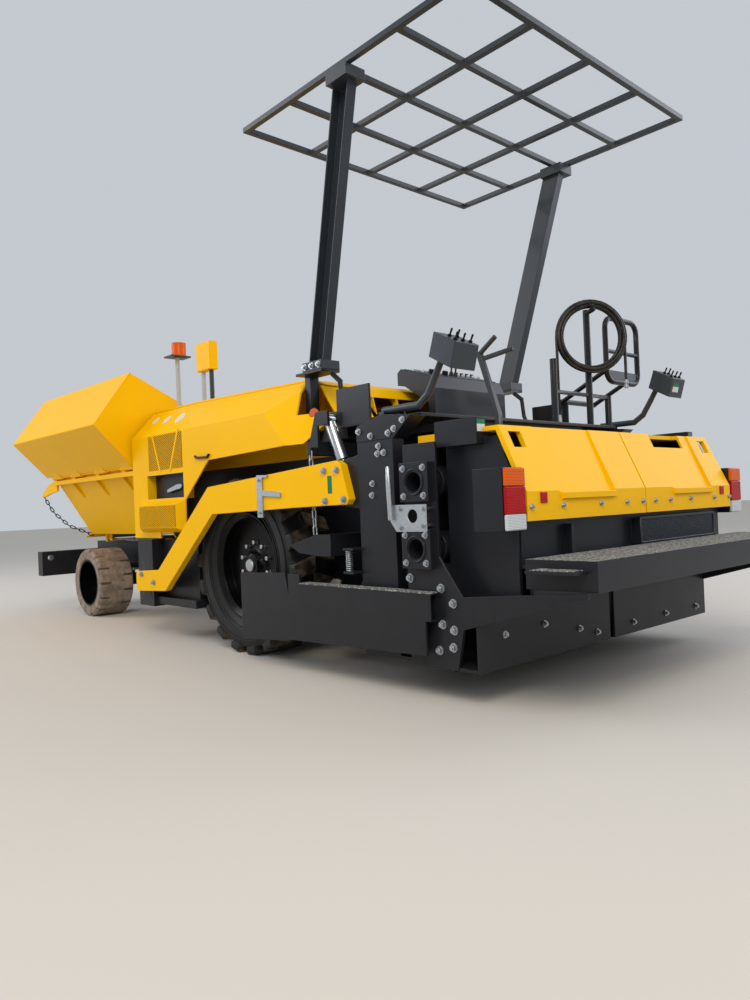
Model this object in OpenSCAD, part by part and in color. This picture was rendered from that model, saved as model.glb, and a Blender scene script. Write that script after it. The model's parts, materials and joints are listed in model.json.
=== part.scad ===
// Wheeled asphalt paver: hopper with folding wings in front, operator deck in the middle,
// floating screed on two tow arms behind. Millimetres; +X is the machine's right, +Y its
// front, +Z up. The origin is on the ground at the middle of the machine's length and width.

/* [Overall] */
// From the origin back to the rear edge of the walkway
rear_reach = 3150; // [3120:5:3200]
// From the origin forward to the face of the push rollers
front_reach = 3150; // [3120:5:3200]

/* [Rear wheels] */
// Axle position along the machine
rear_wheel_y = -660; // [-680:5:-640]
// Outside radius over the lugs
rear_tyre_r = 537; // [520:1:550]
// Width of a rear tyre
rear_tyre_w = 300; // [280:5:310]
// Outer face of a rear tyre from the centre plane
rear_face_x = 950; // [940:1:955]
// Radius of the rim flange
rear_rim_r = 330; // [300:5:340]
// Lugs in each of the two rows
lug_count = 18; // [14:1:20]
// Height of a lug above the carcass
lug_h = 34; // [20:1:40]
// Radius of the wheel bolt circle
wheel_bolt_circle = 140; // [120:5:150]

/* [Front wheels] */
// Axle position along the machine
front_wheel_y = 2070; // [2050:5:2090]
// Outside radius of the solid tyre
front_tyre_r = 295; // [285:1:305]
// Width of a front tyre
front_tyre_w = 300; // [280:5:300]
// Outer face of a front tyre from the centre plane
front_face_x = 800; // [790:1:815]
// Radius of the steel band under the solid tyre
front_rim_r = 205; // [195:1:212]
// Cuts along each edge of the tread
tread_cuts = 14; // [10:1:16]
// Kingpin from the centre plane
kingpin_x = 455; // [452:1:460]
// Length of a steering arm
steer_arm = 150; // [140:5:160]

/* [Chassis] */
// Half width over the rear side plates
frame_half_w = 560; // [550:5:570]
// Thickness of the side plates
frame_plate = 15; // [10:1:20]
// Rear end of the side plates
frame_rear_y = -1450; // [-1470:5:-1440]
// Underside of the belly
belly_z = 380; // [370:5:400]
// Top of the side plates
frame_top_z = 1180; // [1160:5:1200]
// Underside of the front rails
rail_z0 = 440; // [436:2:450]
// Top of the front rails
rail_z1 = 636; // [600:2:640]
// Half the gap between the front rails
rail_x0 = 290; // [280:5:300]
// Width of a front rail
rail_w = 70; // [50:5:80]

/* [Hopper] */
// Front face of the rear wall
hopper_rear_y = 785; // [780:1:790]
// Front end of the fixed sides
hopper_front_y = 2400; // [2380:5:2420]
// Height of the wing hinges
wing_hinge_z = 1240; // [1230:2:1250]
// Wing hinges from the centre plane
wing_hinge_x = 915; // [905:1:920]
// Half width of the hopper floor
hopper_floor_x = 600; // [580:5:620]
// Sheet thickness of hopper and wings
hopper_sheet = 10; // [8:1:12]
// Width of a wing's floor
wing_floor = 430; // [400:5:445]
// Height of a wing's side wall
wing_wall = 490; // [460:5:500]
// Slope of the wing floor when folded up
wing_slope = 46; // [44:1:48]

/* [Conveyor] */
// Height of the conveyor's middle line
conveyor_z = 698; // [696:1:704]
// Outer radius of the chain at its turns
conveyor_r = 50; // [46:1:50]
// Half width over the two chain lanes
conveyor_x = 440; // [420:5:445]
// Distance between slats
slat_pitch = 180; // [150:10:240]

/* [Screed] */
// Height of the tow pin
tow_pin_z = 400; // [390:2:410]
// Tow pin along the machine
tow_pin_y = 530; // [520:2:540]
// Radius of the tow pin
tow_pin_r = 30; // [25:1:35]
// Inner face of a tow arm from the centre plane
arm_x = 990; // [988:1:995]
// Thickness of a tow arm
arm_t = 45; // [35:1:50]
// Underside of the screed plates while raised
screed_z = 150; // [140:2:160]
// Front face of the screed
screed_front_y = -1830; // [-1840:2:-1820]
// Rear face of the main screed
screed_rear_y = -2225; // [-2228:1:-2220]
// Half width over the end columns
screed_half_w = 1000; // [995:1:1005]
// Radius of a guide tube
guide_r = 57; // [50:1:60]
// Radius of the hole through a guide tube
guide_hole_r = 45; // [38:1:46]
// Height of the upper guide tubes
guide_z_high = 972; // [960:2:980]
// Height of the lower guide tubes
guide_z_low = 674; // [666:2:690]
// Guide tubes along the machine
guide_y = -2290; // [-2295:1:-2287]
// Distance between flange bolts
flange_bolts = 124; // [120:2:130]
// Radius of a flange bolt hole
flange_hole_r = 9; // [6:1:11]
// Half width over the rear hood
hood_half_w = 962; // [950:1:964]
// Height of the hood's top
hood_top_z = 1192; // [1180:2:1200]
// Height of the hood's hinge line
hood_hinge_z = 806; // [800:2:810]
// Top of the walkway
walkway_z = 636; // [628:2:644]

/* [Auger] */
// Auger shaft along the machine
auger_y = -1490; // [-1500:2:-1480]
// Height of the auger shaft
auger_z = 330; // [320:2:340]
// Radius of the auger flights
auger_r = 160; // [140:2:165]
// Distance between flights
auger_pitch = 250; // [200:10:300]

/* [Deck and roof] */
// Top of the deck floor
deck_z = 1310; // [1306:2:1320]
// Rear edge of the deck
deck_rear_y = -2160; // [-2170:2:-2150]
// Half width of the deck
deck_half_w = 880; // [860:5:885]
// Centre height of the roof grid
roof_z = 3098; // [3000:5:3150]
// Half width over the roof grid
roof_half_w = 982; // [950:2:1000]
// Length of the roof grid
roof_len = 1713; // [1600:5:1800]
// Side of a roof tube
roof_tube = 30; // [24:1:36]
// Cells of the grid each way
roof_cells = 4; // [3:1:5]

/* [Hidden] */

left = -1;
right = 1;
fit = 0.05;
seat = 0.3;
run_gap = 6;
yellow = "#f2b400";
charcoal = "#2b2d30";
rubber = "#1c1c1c";
steel = "#9a9da0";
cut = 1;

rear_track_x = rear_face_x - rear_tyre_w / 2;
front_track_x = front_face_x - front_tyre_w / 2;
spindle_r = 45;
stub_r = 30;
kingpin_r = 22;

// Draws the right-hand piece, or its mirror image for the left.
module handed(side) {
    if (side == right) children();
    else mirror([1, 0, 0]) children();
}
// A (Y, Z) outline carried along X.
module along_x(x0, x1) {
    translate([x0, 0, 0]) rotate([90, 0, 90]) linear_extrude(x1 - x0) children();
}
// An (X, Z) outline carried along Y.
module along_y(y0, y1) {
    translate([0, y1, 0]) rotate([90, 0, 0]) linear_extrude(y1 - y0) children();
}
module block(x, y, z) {
    translate([x[0], y[0], z[0]]) cube([x[1] - x[0], y[1] - y[0], z[1] - z[0]]);
}
module rod_x(x, y, z, r) {
    translate([x[0], y, z]) rotate([0, 90, 0]) cylinder(h = x[1] - x[0], r = r, $fn = 40);
}
module rod_y(x, y, z, r) {
    translate([x, y[1], z]) rotate([90, 0, 0]) cylinder(h = y[1] - y[0], r = r, $fn = 40);
}
module rod_z(x, y, z, r) {
    translate([x, y, z[0]]) cylinder(h = z[1] - z[0], r = r, $fn = 40);
}
// A round bar from point a to point b.
module bar(a, b, r) {
    d = b - a;
    translate(a) rotate([0, acos(d[2] / norm(d)), atan2(d[1], d[0])])
        cylinder(h = norm(d), r = r, $fn = 24);
}

// A bar through (Y, Z) corners in the plane at x; each length laps past its corner a little.
module bent_bar(x, corners, r) {
    lap = 7;
    for (i = [0 : len(corners) - 2]) {
        a = [x, corners[i][0], corners[i][1]];
        b = [x, corners[i + 1][0], corners[i + 1][1]];
        along = (b - a) / norm(b - a);
        bar(i == 0 ? a : a - along * lap, i == len(corners) - 2 ? b : b + along * lap, r - i * 0.8);
    }
}

// REAR WHEELS
rim_half = rear_tyre_w / 2 - 25;
rim_seat_r = rear_rim_r - 30;
rim_disc = 16;
rim_disc_at = 20;
hub_r = 105;

module rear_wheel_place(side) {
    handed(side) translate([rear_track_x, rear_wheel_y, rear_tyre_r]) rotate([0, 90, 0]) children();
}
module rear_tyre(side) {
    carcass_r = rear_tyre_r - lug_h;
    half = rear_tyre_w / 2;
    bead = rim_half - 24;
    lug_w = 2 * PI * rear_tyre_r / lug_count * 0.46;
    color(rubber) rear_wheel_place(side) union() {
        rotate_extrude($fn = 30) polygon([
            [rim_seat_r + seat, -bead], [rear_rim_r + 8, -bead], [rear_rim_r + 60, -half + 6],
            [carcass_r - 60, -half], [carcass_r - 12, -half + 12], [carcass_r, -half + 40],
            [carcass_r, half - 40], [carcass_r - 12, half - 12], [carcass_r - 60, half],
            [rear_rim_r + 60, half - 6], [rear_rim_r + 8, bead], [rim_seat_r + seat, bead]]);
        intersection() {
            cylinder(h = 2 * half, r = rear_tyre_r, center = true, $fn = 30);
            for (row = [-1, 1], i = [0 : lug_count - 1])
                rotate([0, 0, (i + (row + 1) / 4) * 360 / lug_count])
                    translate([carcass_r - 14, 0, 0]) rotate([90, 0, 90])
                        linear_extrude(lug_h + 30) polygon([
                            [-lug_w / 2 - 20, row * -8], [lug_w / 2 - 20, row * -8],
                            [lug_w / 2 + 26, row * (half - 2)], [-lug_w / 2 + 26, row * (half - 2)]]);
        }
    }
}
module rear_rim(side) {
    flange = 12;
    wall = 10;
    color(charcoal) rear_wheel_place(side) difference() {
        union() {
            rotate_extrude($fn = 30) polygon([
                [rear_rim_r, rim_half], [rear_rim_r, rim_half - flange],
                [rim_seat_r, rim_half - 2 * flange + 2], [rim_seat_r, -rim_half + 2 * flange - 2],
                [rear_rim_r, -rim_half + flange], [rear_rim_r, -rim_half],
                [rear_rim_r - wall, -rim_half], [rim_seat_r - wall, -rim_half + 25],
                [rim_seat_r - wall, rim_half - 25], [rear_rim_r - wall, rim_half]]);
            translate([0, 0, rim_disc_at]) cylinder(h = rim_disc, r = rim_seat_r - 2, $fn = 30);
            translate([0, 0, -85]) cylinder(h = 85 + rim_disc_at + 20, r = hub_r, $fn = 48);
            cylinder(h = rim_disc_at + 62, r = 72, $fn = 40);
            for (i = [0 : 9]) rotate([0, 0, i * 36])
                translate([wheel_bolt_circle, 0, rim_disc_at]) cylinder(h = rim_disc + 24, r = 15, $fn = 6);
        }
        translate([0, 0, -86]) cylinder(h = 86 + rim_disc_at, r = spindle_r + fit, $fn = 40);
    }
}

// FRONT WHEELS AND STEERING
axle_half_h = 60;
boss_r = 45;
lug_t = 25;
knuckle_gap = 1;
arm_z0 = front_tyre_r + axle_half_h + knuckle_gap;
steer_y = front_wheel_y - steer_arm;
steer_eye_z = arm_z0 + lug_t + seat;
steer_eye_t = 22;
steer_rod_r = 11;
steer_eye_y = 7;
steer_rod_z = steer_eye_z + steer_eye_t / 2;

module front_wheel_place(side) {
    handed(side) translate([front_track_x, front_wheel_y, front_tyre_r]) rotate([0, 90, 0]) children();
}
module front_tyre(side) {
    half = front_tyre_w / 2;
    deep = 24;
    cut_w = 20;
    cut_len = 95;
    color("#3a342e") front_wheel_place(side) difference() {
        rotate_extrude($fn = 24) polygon([
            [front_rim_r + seat, -half + 6], [front_tyre_r - 22, -half], [front_tyre_r, -half + 16],
            [front_tyre_r, half - 16], [front_tyre_r - 22, half], [front_rim_r + seat, half - 6]]);
        for (row = [-1, 1], i = [0 : tread_cuts - 1])
            rotate([0, 0, (i + (row + 1) / 4) * 360 / tread_cuts])
                translate([front_tyre_r - deep, -cut_w / 2, row > 0 ? half - cut_len : -half - cut])
                    cube([deep + 10, cut_w, cut_len + cut]);
    }
}
module front_rim(side) {
    half = front_tyre_w / 2 - 8;
    band = 10;
    disc_at = -10;
    hub_in = kingpin_x + 85 - front_track_x;
    color(charcoal) front_wheel_place(side) difference() {
        union() {
            rotate_extrude($fn = 24) polygon([
                [front_rim_r, -half], [front_rim_r, half], [front_rim_r - band - 6, half],
                [front_rim_r - band, half - 12], [front_rim_r - band, -half]]);
            translate([0, 0, disc_at]) cylinder(h = 14, r = front_rim_r - 3, $fn = 24);
            translate([0, 0, hub_in]) cylinder(h = disc_at + 30 - hub_in, r = 58, $fn = 40);
            for (i = [0 : 5]) rotate([0, 0, i * 60])
                translate([95, 0, disc_at]) cylinder(h = 30, r = 12, $fn = 6);
        }
        translate([0, 0, hub_in - cut]) cylinder(h = disc_at - hub_in + cut, r = stub_r + fit, $fn = 40);
    }
}
module knuckle(side) {
    z_low = front_tyre_r - axle_half_h - knuckle_gap - lug_t;
    z_high = arm_z0 + lug_t;
    web_x = kingpin_x + boss_r + run_gap;
    color(charcoal) handed(side) union() {
        for (z = [z_low, arm_z0]) {
            rod_z(kingpin_x, front_wheel_y, [z, z + lug_t], boss_r + 3);
            block([kingpin_x, web_x + 5], [front_wheel_y - 42, front_wheel_y + 42], [z, z + lug_t]);
        }
        rod_z(kingpin_x, front_wheel_y, [z_low + 5, z_high - 5], kingpin_r);
        block([web_x, web_x + 26], [front_wheel_y - 42, front_wheel_y + 42], [z_low, z_high]);
        rod_x([web_x + 20, front_track_x - 22], front_wheel_y, front_tyre_r, stub_r);
        block([kingpin_x - 30, kingpin_x + 25], [steer_y, front_wheel_y], [arm_z0, arm_z0 + lug_t]);
        rod_z(kingpin_x, steer_y, [arm_z0, arm_z0 + lug_t], 30);
        rod_z(kingpin_x, steer_y, [arm_z0, steer_eye_z + steer_eye_t + 4], 9);
    }
}
module steer_rod() {
    eye_x = kingpin_x;
    color(steel) difference() {
        union() {
            rod_x([-eye_x + 22, eye_x - 22], steer_y, steer_rod_z, steer_rod_r);
            for (s = [left, right])
                rod_z(s * eye_x, steer_y + steer_eye_y, [steer_eye_z, steer_eye_z + steer_eye_t], 28);
        }
        for (s = [left, right])
            rod_z(s * eye_x, steer_y + steer_eye_y, [steer_eye_z - cut, steer_eye_z + steer_eye_t + cut], 19);
    }
}
module front_axle() {
    barrel_r = 34;
    barrel_half = 150;
    z = [front_tyre_r - axle_half_h, front_tyre_r + axle_half_h];
    color(charcoal) difference() {
        union() {
            block([-kingpin_x, kingpin_x], [front_wheel_y - 40, front_wheel_y + 40],
                  [z[0] + 8, z[1] - 8]);
            for (s = [left, right]) rod_z(s * kingpin_x, front_wheel_y, z, boss_r);
            rod_y(0, [front_wheel_y - 95, front_wheel_y + 95], front_tyre_r + 75, 55);
            block([-70, 70], [front_wheel_y - 95, front_wheel_y - 60], [front_tyre_r + 60, rail_z0 - seat]);
            block([-70, 70], [front_wheel_y + 60, front_wheel_y + 95], [front_tyre_r + 60, rail_z0 - seat]);
            rod_x([-barrel_half, barrel_half], steer_y, steer_rod_z, barrel_r);
            block([-60, 60], [steer_y - 20, front_wheel_y - 30], [front_tyre_r + 20, steer_rod_z - 10]);
        }
        for (s = [left, right]) rod_z(s * kingpin_x, front_wheel_y, [z[0] - cut, z[1] + cut], kingpin_r + fit);
        rod_x([-barrel_half - cut, barrel_half + cut], steer_y, steer_rod_z, steer_rod_r + fit);
    }
}

// CHASSIS
guide_post = [440, 660];
guide_post_z = [220, 700];
tunnel_x = 455;
tunnel_top = 1010;
chain_t = 20;
drive_box_x = 55;
auger_pin_r = 20;
lift_x = 885;
lift_top = [-1480, 1345];
lift_eye = [-1640, 985];
lift_pin_r = 16;
spindle_end = rear_track_x + rim_disc_at - 4;

module chassis_side() {
    along_x(frame_half_w - frame_plate, frame_half_w) polygon([
        [frame_rear_y, 600], [frame_rear_y + 130, belly_z], [500, belly_z], [760, rail_z0],
        [760, frame_top_z], [frame_rear_y, frame_top_z]]);
    rod_x([frame_half_w - 5, rear_face_x - rear_tyre_w - 15], rear_wheel_y, rear_tyre_r, 170);
    rod_x([frame_half_w - 5, rear_track_x - 92], rear_wheel_y, rear_tyre_r, 120);
    rod_x([frame_half_w - 5, spindle_end], rear_wheel_y, rear_tyre_r, spindle_r);
    block([rail_x0, rail_x0 + rail_w], [700, front_reach - 280], [rail_z0, rail_z1]);
    block([frame_half_w - 5, 900], [-60, 435], [290, 690]);
    block([frame_half_w - 5, 960], [-110, 560], [238, 290.5]);
    difference() {
        block([880, arm_x - 6], guide_post, guide_post_z);
        block([900, arm_x - 20], [guide_post[0] + 30, guide_post[1] - 30], [guide_post_z[0] - cut, 320]);
        block([900, arm_x - 20], [guide_post[0] + 30, guide_post[1] - 30], [480, guide_post_z[1] - 40]);
    }
    rod_x([arm_x - 8, arm_x + arm_t - 14], tow_pin_y, tow_pin_z, tow_pin_r);
    block([frame_half_w - 5, 885], [480, 620], [560, 690]);
    // Beam behind the rear wheel, with the arm that carries the tow arm's hold-up chain
    block([frame_half_w - 5, 985], [-1571, -1446], [618, 732]);
    along_x(960, 985) polygon([[-1209, 673], [-1292, 633], [-1450, 618], [-1450, 732]]);
}
module chassis_frame() {
    ear_t = 14;
    color(charcoal) union() {
        for (s = [left, right]) handed(s) {
            chassis_side();
            for (x = [lift_x - 35 - ear_t, lift_x + 35]) along_x(x, x + ear_t) polygon([
                [lift_top[0] - 45, lift_top[1] - 30], [lift_top[0] + 45, lift_top[1] - 30],
                [lift_top[0] + 45, 1180], [lift_top[0] + 120, 1180], [lift_top[0] + 120, 1230],
                [lift_top[0] + 60, lift_top[1] + 45], [lift_top[0] - 45, lift_top[1] + 45]]);
            block([frame_half_w - 5, lift_x + 35 + ear_t], [lift_top[0] + 50, lift_top[0] + 140],
                  [1160, 1232]);
            rod_x([lift_x - 38, lift_x + 38], lift_top[0], lift_top[1], lift_pin_r);
            rod_x([drive_box_x - 5, drive_box_x + 70], auger_y, auger_z, auger_pin_r);
        }
        block([-frame_half_w + 5, frame_half_w - 5], [-1320, 500], [belly_z, belly_z + 12]);
        block([-frame_half_w + 5, frame_half_w - 5], [frame_rear_y, 760], [tunnel_top, tunnel_top + 12]);
        for (y = [700, 1400, 2300, front_reach - 330])
            block([-rail_x0 - 5, rail_x0 + 5], [y, y + 50], [rail_z0, rail_z0 + 120]);
        block([-90, 90], [front_wheel_y - 120, front_wheel_y + 120], [rail_z0, rail_z0 + 30]);
        block([-rail_x0 - 5, rail_x0 + 5], [front_wheel_y - 60, front_wheel_y + 60],
              [rail_z0 + 25, rail_z0 + 90]);
        block([-frame_half_w + 5, frame_half_w - 5], [690, 720], [rail_z0, rail_z1]);
        block([-drive_box_x, drive_box_x], [auger_y - 75, auger_y + 75], [auger_z - 80, 600]);
        block([-frame_half_w + 5, frame_half_w - 5], [frame_rear_y - 20, frame_rear_y + 60], [520, 600]);
    }
}
module engine_block() {
    color("#4a4d50") block([-400, 400], [-330, 640], [tunnel_top + 12 + seat, 1480]);
}

// COVERS
cover_x = 950;
cover_sheet = 12;
bend_z = 1440;
cover_top_x = 760;
cover_top_z = 1640;
cover_front_y = 770;
column_rear_y = 367;
slope_y = 113;
top_rear = [-1196, 1598];
crest = [-1264, 1573];
wall_foot = [-1432, 1345];
wall_y = 15;
rear_panel_x = 480;
facet_at = [cover_x, -1001, 1401];
facet_tilt = 14.2;
facet_turn = 15.1;
facet_hole = [865, -1313, 1406];
facet_hole_r = 28;
grille_y = [-1, 524];
grille_z = [1172, 1446];
grille_cells = 8;
recess_y = [14, 541];
recess_z = [984, 1150];
recess_deep = 62;
vent_y = [6, 643];
vent_z = [747, 970];
vent_out = 52;
side_line = [[cover_front_y, 705], [column_rear_y, 705], [column_rear_y, vent_z[0]], [vent_y[0], vent_z[0]],
             [0, 960], [-317, 1210], [-1139, 1232], [-1283, 1232], wall_foot, crest, top_rear,
             [slope_y, cover_top_z], [cover_front_y, cover_top_z]];

// Space on the outer side of the slanted facet behind the covers, from depth x0 to x1.
module facet_space(x0, x1) {
    translate(facet_at) rotate([0, -facet_tilt, -facet_turn])
        translate([x0, -900, -700]) cube([x1 - x0, 1800, 1400]);
}
module cover_envelope(y0, y1, inner_x) {
    along_y(y0, y1) polygon([[cover_x, 600], [cover_x, bend_z], [cover_top_x, cover_top_z],
                             [inner_x, cover_top_z], [inner_x, 600]]);
}
module post_cut() {
    block([post_foot[0] - 80, post_foot[0] + 62], [post_foot[1] - 92, top_rear[0] - 6], [1400, 1700]);
}
module side_cover(side) {
    skin_x = cover_x - cover_sheet;
    cell = [(grille_y[1] - grille_y[0] - 40) / grille_cells, (grille_z[1] - grille_z[0] - 30) / grille_cells];
    rib = 9;
    color(yellow) handed(side) difference() {
        union() {
            difference() {
                intersection() {
                    along_y(wall_foot[0], cover_front_y) polygon([
                        [cover_x, 600], [cover_x, bend_z], [cover_top_x, cover_top_z],
                        [cover_top_x - 18, cover_top_z], [skin_x, bend_z - 5], [skin_x, 600]]);
                    along_x(700, cover_x + cut) polygon(side_line);
                }
                facet_space(0, 400);
            }
            intersection() {
                cover_envelope(wall_foot[0], -900, 700);
                along_x(700, cover_x) polygon(side_line);
                facet_space(-cover_sheet, 0);
            }
            difference() {
                intersection() {
                    along_x(rear_panel_x, cover_x) polygon([crest, wall_foot, wall_foot + [wall_y, 0],
                                                            crest + [wall_y, 0]]);
                    cover_envelope(wall_foot[0], -1200, rear_panel_x);
                }
                facet_space(-1, 400);
            }
            // Bulged vent box low on the column
            intersection() {
                along_y(vent_y[0], vent_y[1]) polygon([
                    [skin_x, vent_z[0]], [cover_x, vent_z[0]], [cover_x + vent_out, vent_z[0] + 30],
                    [cover_x + vent_out, vent_z[1] - 32], [cover_x, vent_z[1]], [skin_x, vent_z[1]]]);
                translate([0, 0, vent_z[0]]) linear_extrude(vent_z[1] - vent_z[0]) polygon([
                    [skin_x, vent_y[0]], [cover_x, vent_y[0]], [cover_x + vent_out, vent_y[0] + 34],
                    [cover_x + vent_out, vent_y[1] - 60], [cover_x, vent_y[1]], [skin_x, vent_y[1]]]);
            }
            // Pan behind the handle recess, and the two ribs across the grille
            difference() {
                block([skin_x - recess_deep, skin_x + 2], recess_y + [-8, 8], recess_z + [-8, 8]);
                block([skin_x - recess_deep + 6, skin_x + 5], recess_y, recess_z);
            }
            for (e = [[440, 1450, 330, 1170], [60, 1450, 190, 1170]])
                along_x(skin_x, cover_x + 6) polygon([[e[0] - rib, e[1]], [e[0] + rib, e[1]],
                                                      [e[2] + rib, e[3]], [e[2] - rib, e[3]]]);
        }
        difference() {
            for (row = [0 : grille_cells - 1], col = [0 : grille_cells - 1])
                block([skin_x - 20, cover_x + 1],
                      [grille_y[0] + 25 + col * cell[0], grille_y[0] + 15 + (col + 1) * cell[0]],
                      [grille_z[0] + 20 + row * cell[1], grille_z[0] + 10 + (row + 1) * cell[1]]);
            for (e = [[440, 1450, 330, 1170], [60, 1450, 190, 1170]])
                along_x(skin_x - 25, cover_x + 6) polygon([[e[0] - rib, e[1]], [e[0] + rib, e[1]],
                                                           [e[2] + rib, e[3]], [e[2] - rib, e[3]]]);
        }
        block([skin_x - 2, cover_x + 30], recess_y, recess_z);
        translate(facet_hole) rotate([0, -facet_tilt, -facet_turn]) rotate([0, 90, 0])
            cylinder(h = 90, r = facet_hole_r, center = true, $fn = 32);
        post_cut();
        block([lift_x - 51, lift_x - 33], [-1440, -1385], [1300, 1394]);
    }
}
module top_cover() {
    sheet = cover_sheet;
    lamp_box = [[-690, -630], [40, 230], [1880, 2080]];
    fall = atan2(cover_top_z - top_rear[1], slope_y - top_rear[0]);
    over = cover_top_z - top_rear[1];
    strip_end = crest + (wall_foot - crest) * 0.23;
    color(yellow) difference() {
        union() {
            block([-cover_top_x - 2, cover_top_x + 2], [slope_y - 1, cover_front_y],
                  [cover_top_z + seat, cover_top_z + seat + sheet]);
            translate([0, slope_y, cover_top_z + seat]) rotate([fall, 0, 0]) linear_extrude(sheet) polygon([
                [-cover_top_x - 2, 0], [cover_top_x + 2, 0],
                [cover_top_x + over, top_rear[0] - slope_y], [-cover_top_x - over, top_rear[0] - slope_y]]);
            along_x(-cover_top_x + 30, cover_top_x - 30) polygon([
                top_rear + [10, seat], top_rear + [10, seat + sheet], top_rear + [0, seat + sheet],
                crest + [-9, seat + 6], crest + [-9, seat]]);
            along_x(-rear_panel_x + seat, rear_panel_x - seat) polygon([
                crest + [-9, seat + 6], crest + [8, seat + 6], strip_end + [8, 0], strip_end + [-9, 0]]);
            for (s = [left, right]) handed(s) {
                block([frame_half_w - 40, frame_half_w - 2], [-1150, 700],
                      [frame_top_z + seat, top_rear[1] - 14]);
                block([frame_half_w - 40, frame_half_w - 2], [-1150, 700],
                      [top_rear[1] - 15, top_rear[1] + 6]);
                block([frame_half_w - 30, cover_x - cover_sheet - seat], [-950, -900], [1300, 1400]);
                block([frame_half_w - 30, cover_x - cover_sheet - seat], [650, 700], [1250, 1400]);
                for (x = [200, 400]) along_x(x, x + 8) polygon([
                    crest + [-9, seat], crest + [60, seat], [wall_foot[0] + 90, wall_foot[1] + 70],
                    strip_end + [-9, 0]]);
            }
            for (y = [80, 190]) rod_z(-660, y, [cover_top_z + seat + sheet - 2, lamp_box[2][0] + 30], 16);
            difference() {
                block(lamp_box[0], lamp_box[1], lamp_box[2]);
                block([-700, -660], lamp_box[1] + [12, -70], lamp_box[2] + [12, -12]);
            }
        }
        post_cut();
        mirror([1, 0, 0]) post_cut();
    }
}

// HOPPER
hinge_pin_r = 12;
hinge_barrel_r = 22;
wing_y = [800, 2560];
hinge_cells = [[815, 150], [1300, 150], [1800, 150], [2230, 150]];

module hopper_frame() {
    wall_y = [hopper_rear_y - 12, hopper_rear_y];
    lip = wing_hinge_z - 30;
    floor_z = conveyor_z + conveyor_r - chain_t;
    color(yellow) difference() {
        union() {
            along_y(wall_y[0], wall_y[1]) polygon([
                [-hopper_floor_x, 660], [hopper_floor_x, 660], [wing_hinge_x - 15, lip],
                [wing_hinge_x - 15, 1430], [740, 1620], [-740, 1620], [-wing_hinge_x + 15, 1430],
                [-wing_hinge_x + 15, lip]]);
            for (s = [left, right]) handed(s) {
                along_y(wall_y[1] - 1, hopper_front_y) polygon([
                    [hopper_floor_x - 10, floor_z], [hopper_floor_x + 4, floor_z - 12],
                    [wing_hinge_x - 8, lip], [wing_hinge_x - 20, lip + 6]]);
                block([tunnel_x, hopper_floor_x + 3], [wall_y[1] - 1, hopper_front_y],
                      [floor_z - hopper_sheet, floor_z]);
                block([tunnel_x, tunnel_x + 14], [hopper_front_y - 120, hopper_front_y - 20],
                      [conveyor_z - 40, floor_z]);
                for (y = [wall_y[1] + 20, hopper_front_y - 60]) {
                    block([rail_x0 + 5, tunnel_x + 30], [y, y + 40], [rail_z1 + seat, rail_z1 + 9]);
                    block([tunnel_x + 2, tunnel_x + 30], [y, y + 40], [rail_z1 + seat, floor_z - 3]);
                }
                along_x(wing_hinge_x - 18, wing_hinge_x + 2) polygon([
                    [hopper_front_y - 20, lip - 5], [hopper_front_y - 20, lip - 90],
                    [hopper_front_y + 160, 1100], [hopper_front_y + 340, 1070],
                    [hopper_front_y + 360, 1095], [hopper_front_y + 200, 1180],
                    [hopper_front_y + 80, lip - 7]]);
                for (c = hinge_cells) {
                    rod_y(wing_hinge_x, [c[0] + c[1] + 2, c[0] + c[1] + 62], wing_hinge_z, hinge_barrel_r);
                    block([wing_hinge_x - 30, wing_hinge_x + 5], [c[0] + c[1] + 2, c[0] + c[1] + 62],
                          [lip - 10, wing_hinge_z - 5]);
                }
                rod_y(wing_hinge_x, [hinge_cells[0][0], hinge_cells[3][0] + 210], wing_hinge_z, hinge_pin_r);
            }
        }
        block([-tunnel_x, tunnel_x], [wall_y[0] - cut, wall_y[1] + cut], [600, tunnel_top]);
    }
    color(yellow) along_x(-hopper_floor_x, hopper_floor_x) polygon([
        [hopper_front_y, floor_z - 8], [hopper_front_y + 160, floor_z - 46],
        [hopper_front_y + 160, floor_z - 36], [hopper_front_y, floor_z]]);
}
// Wing outlines are drawn flat in the plane of the wing's own sheet, then folded up.
module wing(side) {
    dir = [cos(wing_slope), sin(wing_slope)];
    out = [sin(wing_slope), -cos(wing_slope)];
    h = [wing_hinge_x, wing_hinge_z];
    foot = h + dir * 14;
    corner = h + dir * wing_floor;
    top = corner + [-0.594, 0.804] * wing_wall;
    color(yellow) handed(side) difference() {
        union() {
            along_y(wing_y[0], wing_y[1]) polygon([
                foot + out * 12, corner + [8, -8], corner + [10, 0], top + [8, 6], top + [-2, 6],
                corner + [-4, 0], corner + [-8, -4], foot + out * 2]);
            along_y(wing_y[0], wing_y[0] + 8) polygon([
                foot + out * 6, corner, top, [500, 1735], [500, 1500], [860, 1300]]);
            for (c = hinge_cells) {
                rod_y(h[0], [c[0], c[0] + c[1]], h[1], hinge_barrel_r);
                along_y(c[0], c[0] + c[1]) polygon([h, h + dir * 60, h + dir * 60 + out * 14, h + out * 20]);
            }
        }
        for (c = hinge_cells) rod_y(h[0], [c[0] - cut, c[0] + c[1] + cut], h[1], hinge_pin_r + fit);
        for (c = hinge_cells) rod_y(h[0], [c[0] + c[1], c[0] + c[1] + 64], h[1], hinge_barrel_r + run_gap);
    }
}

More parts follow.
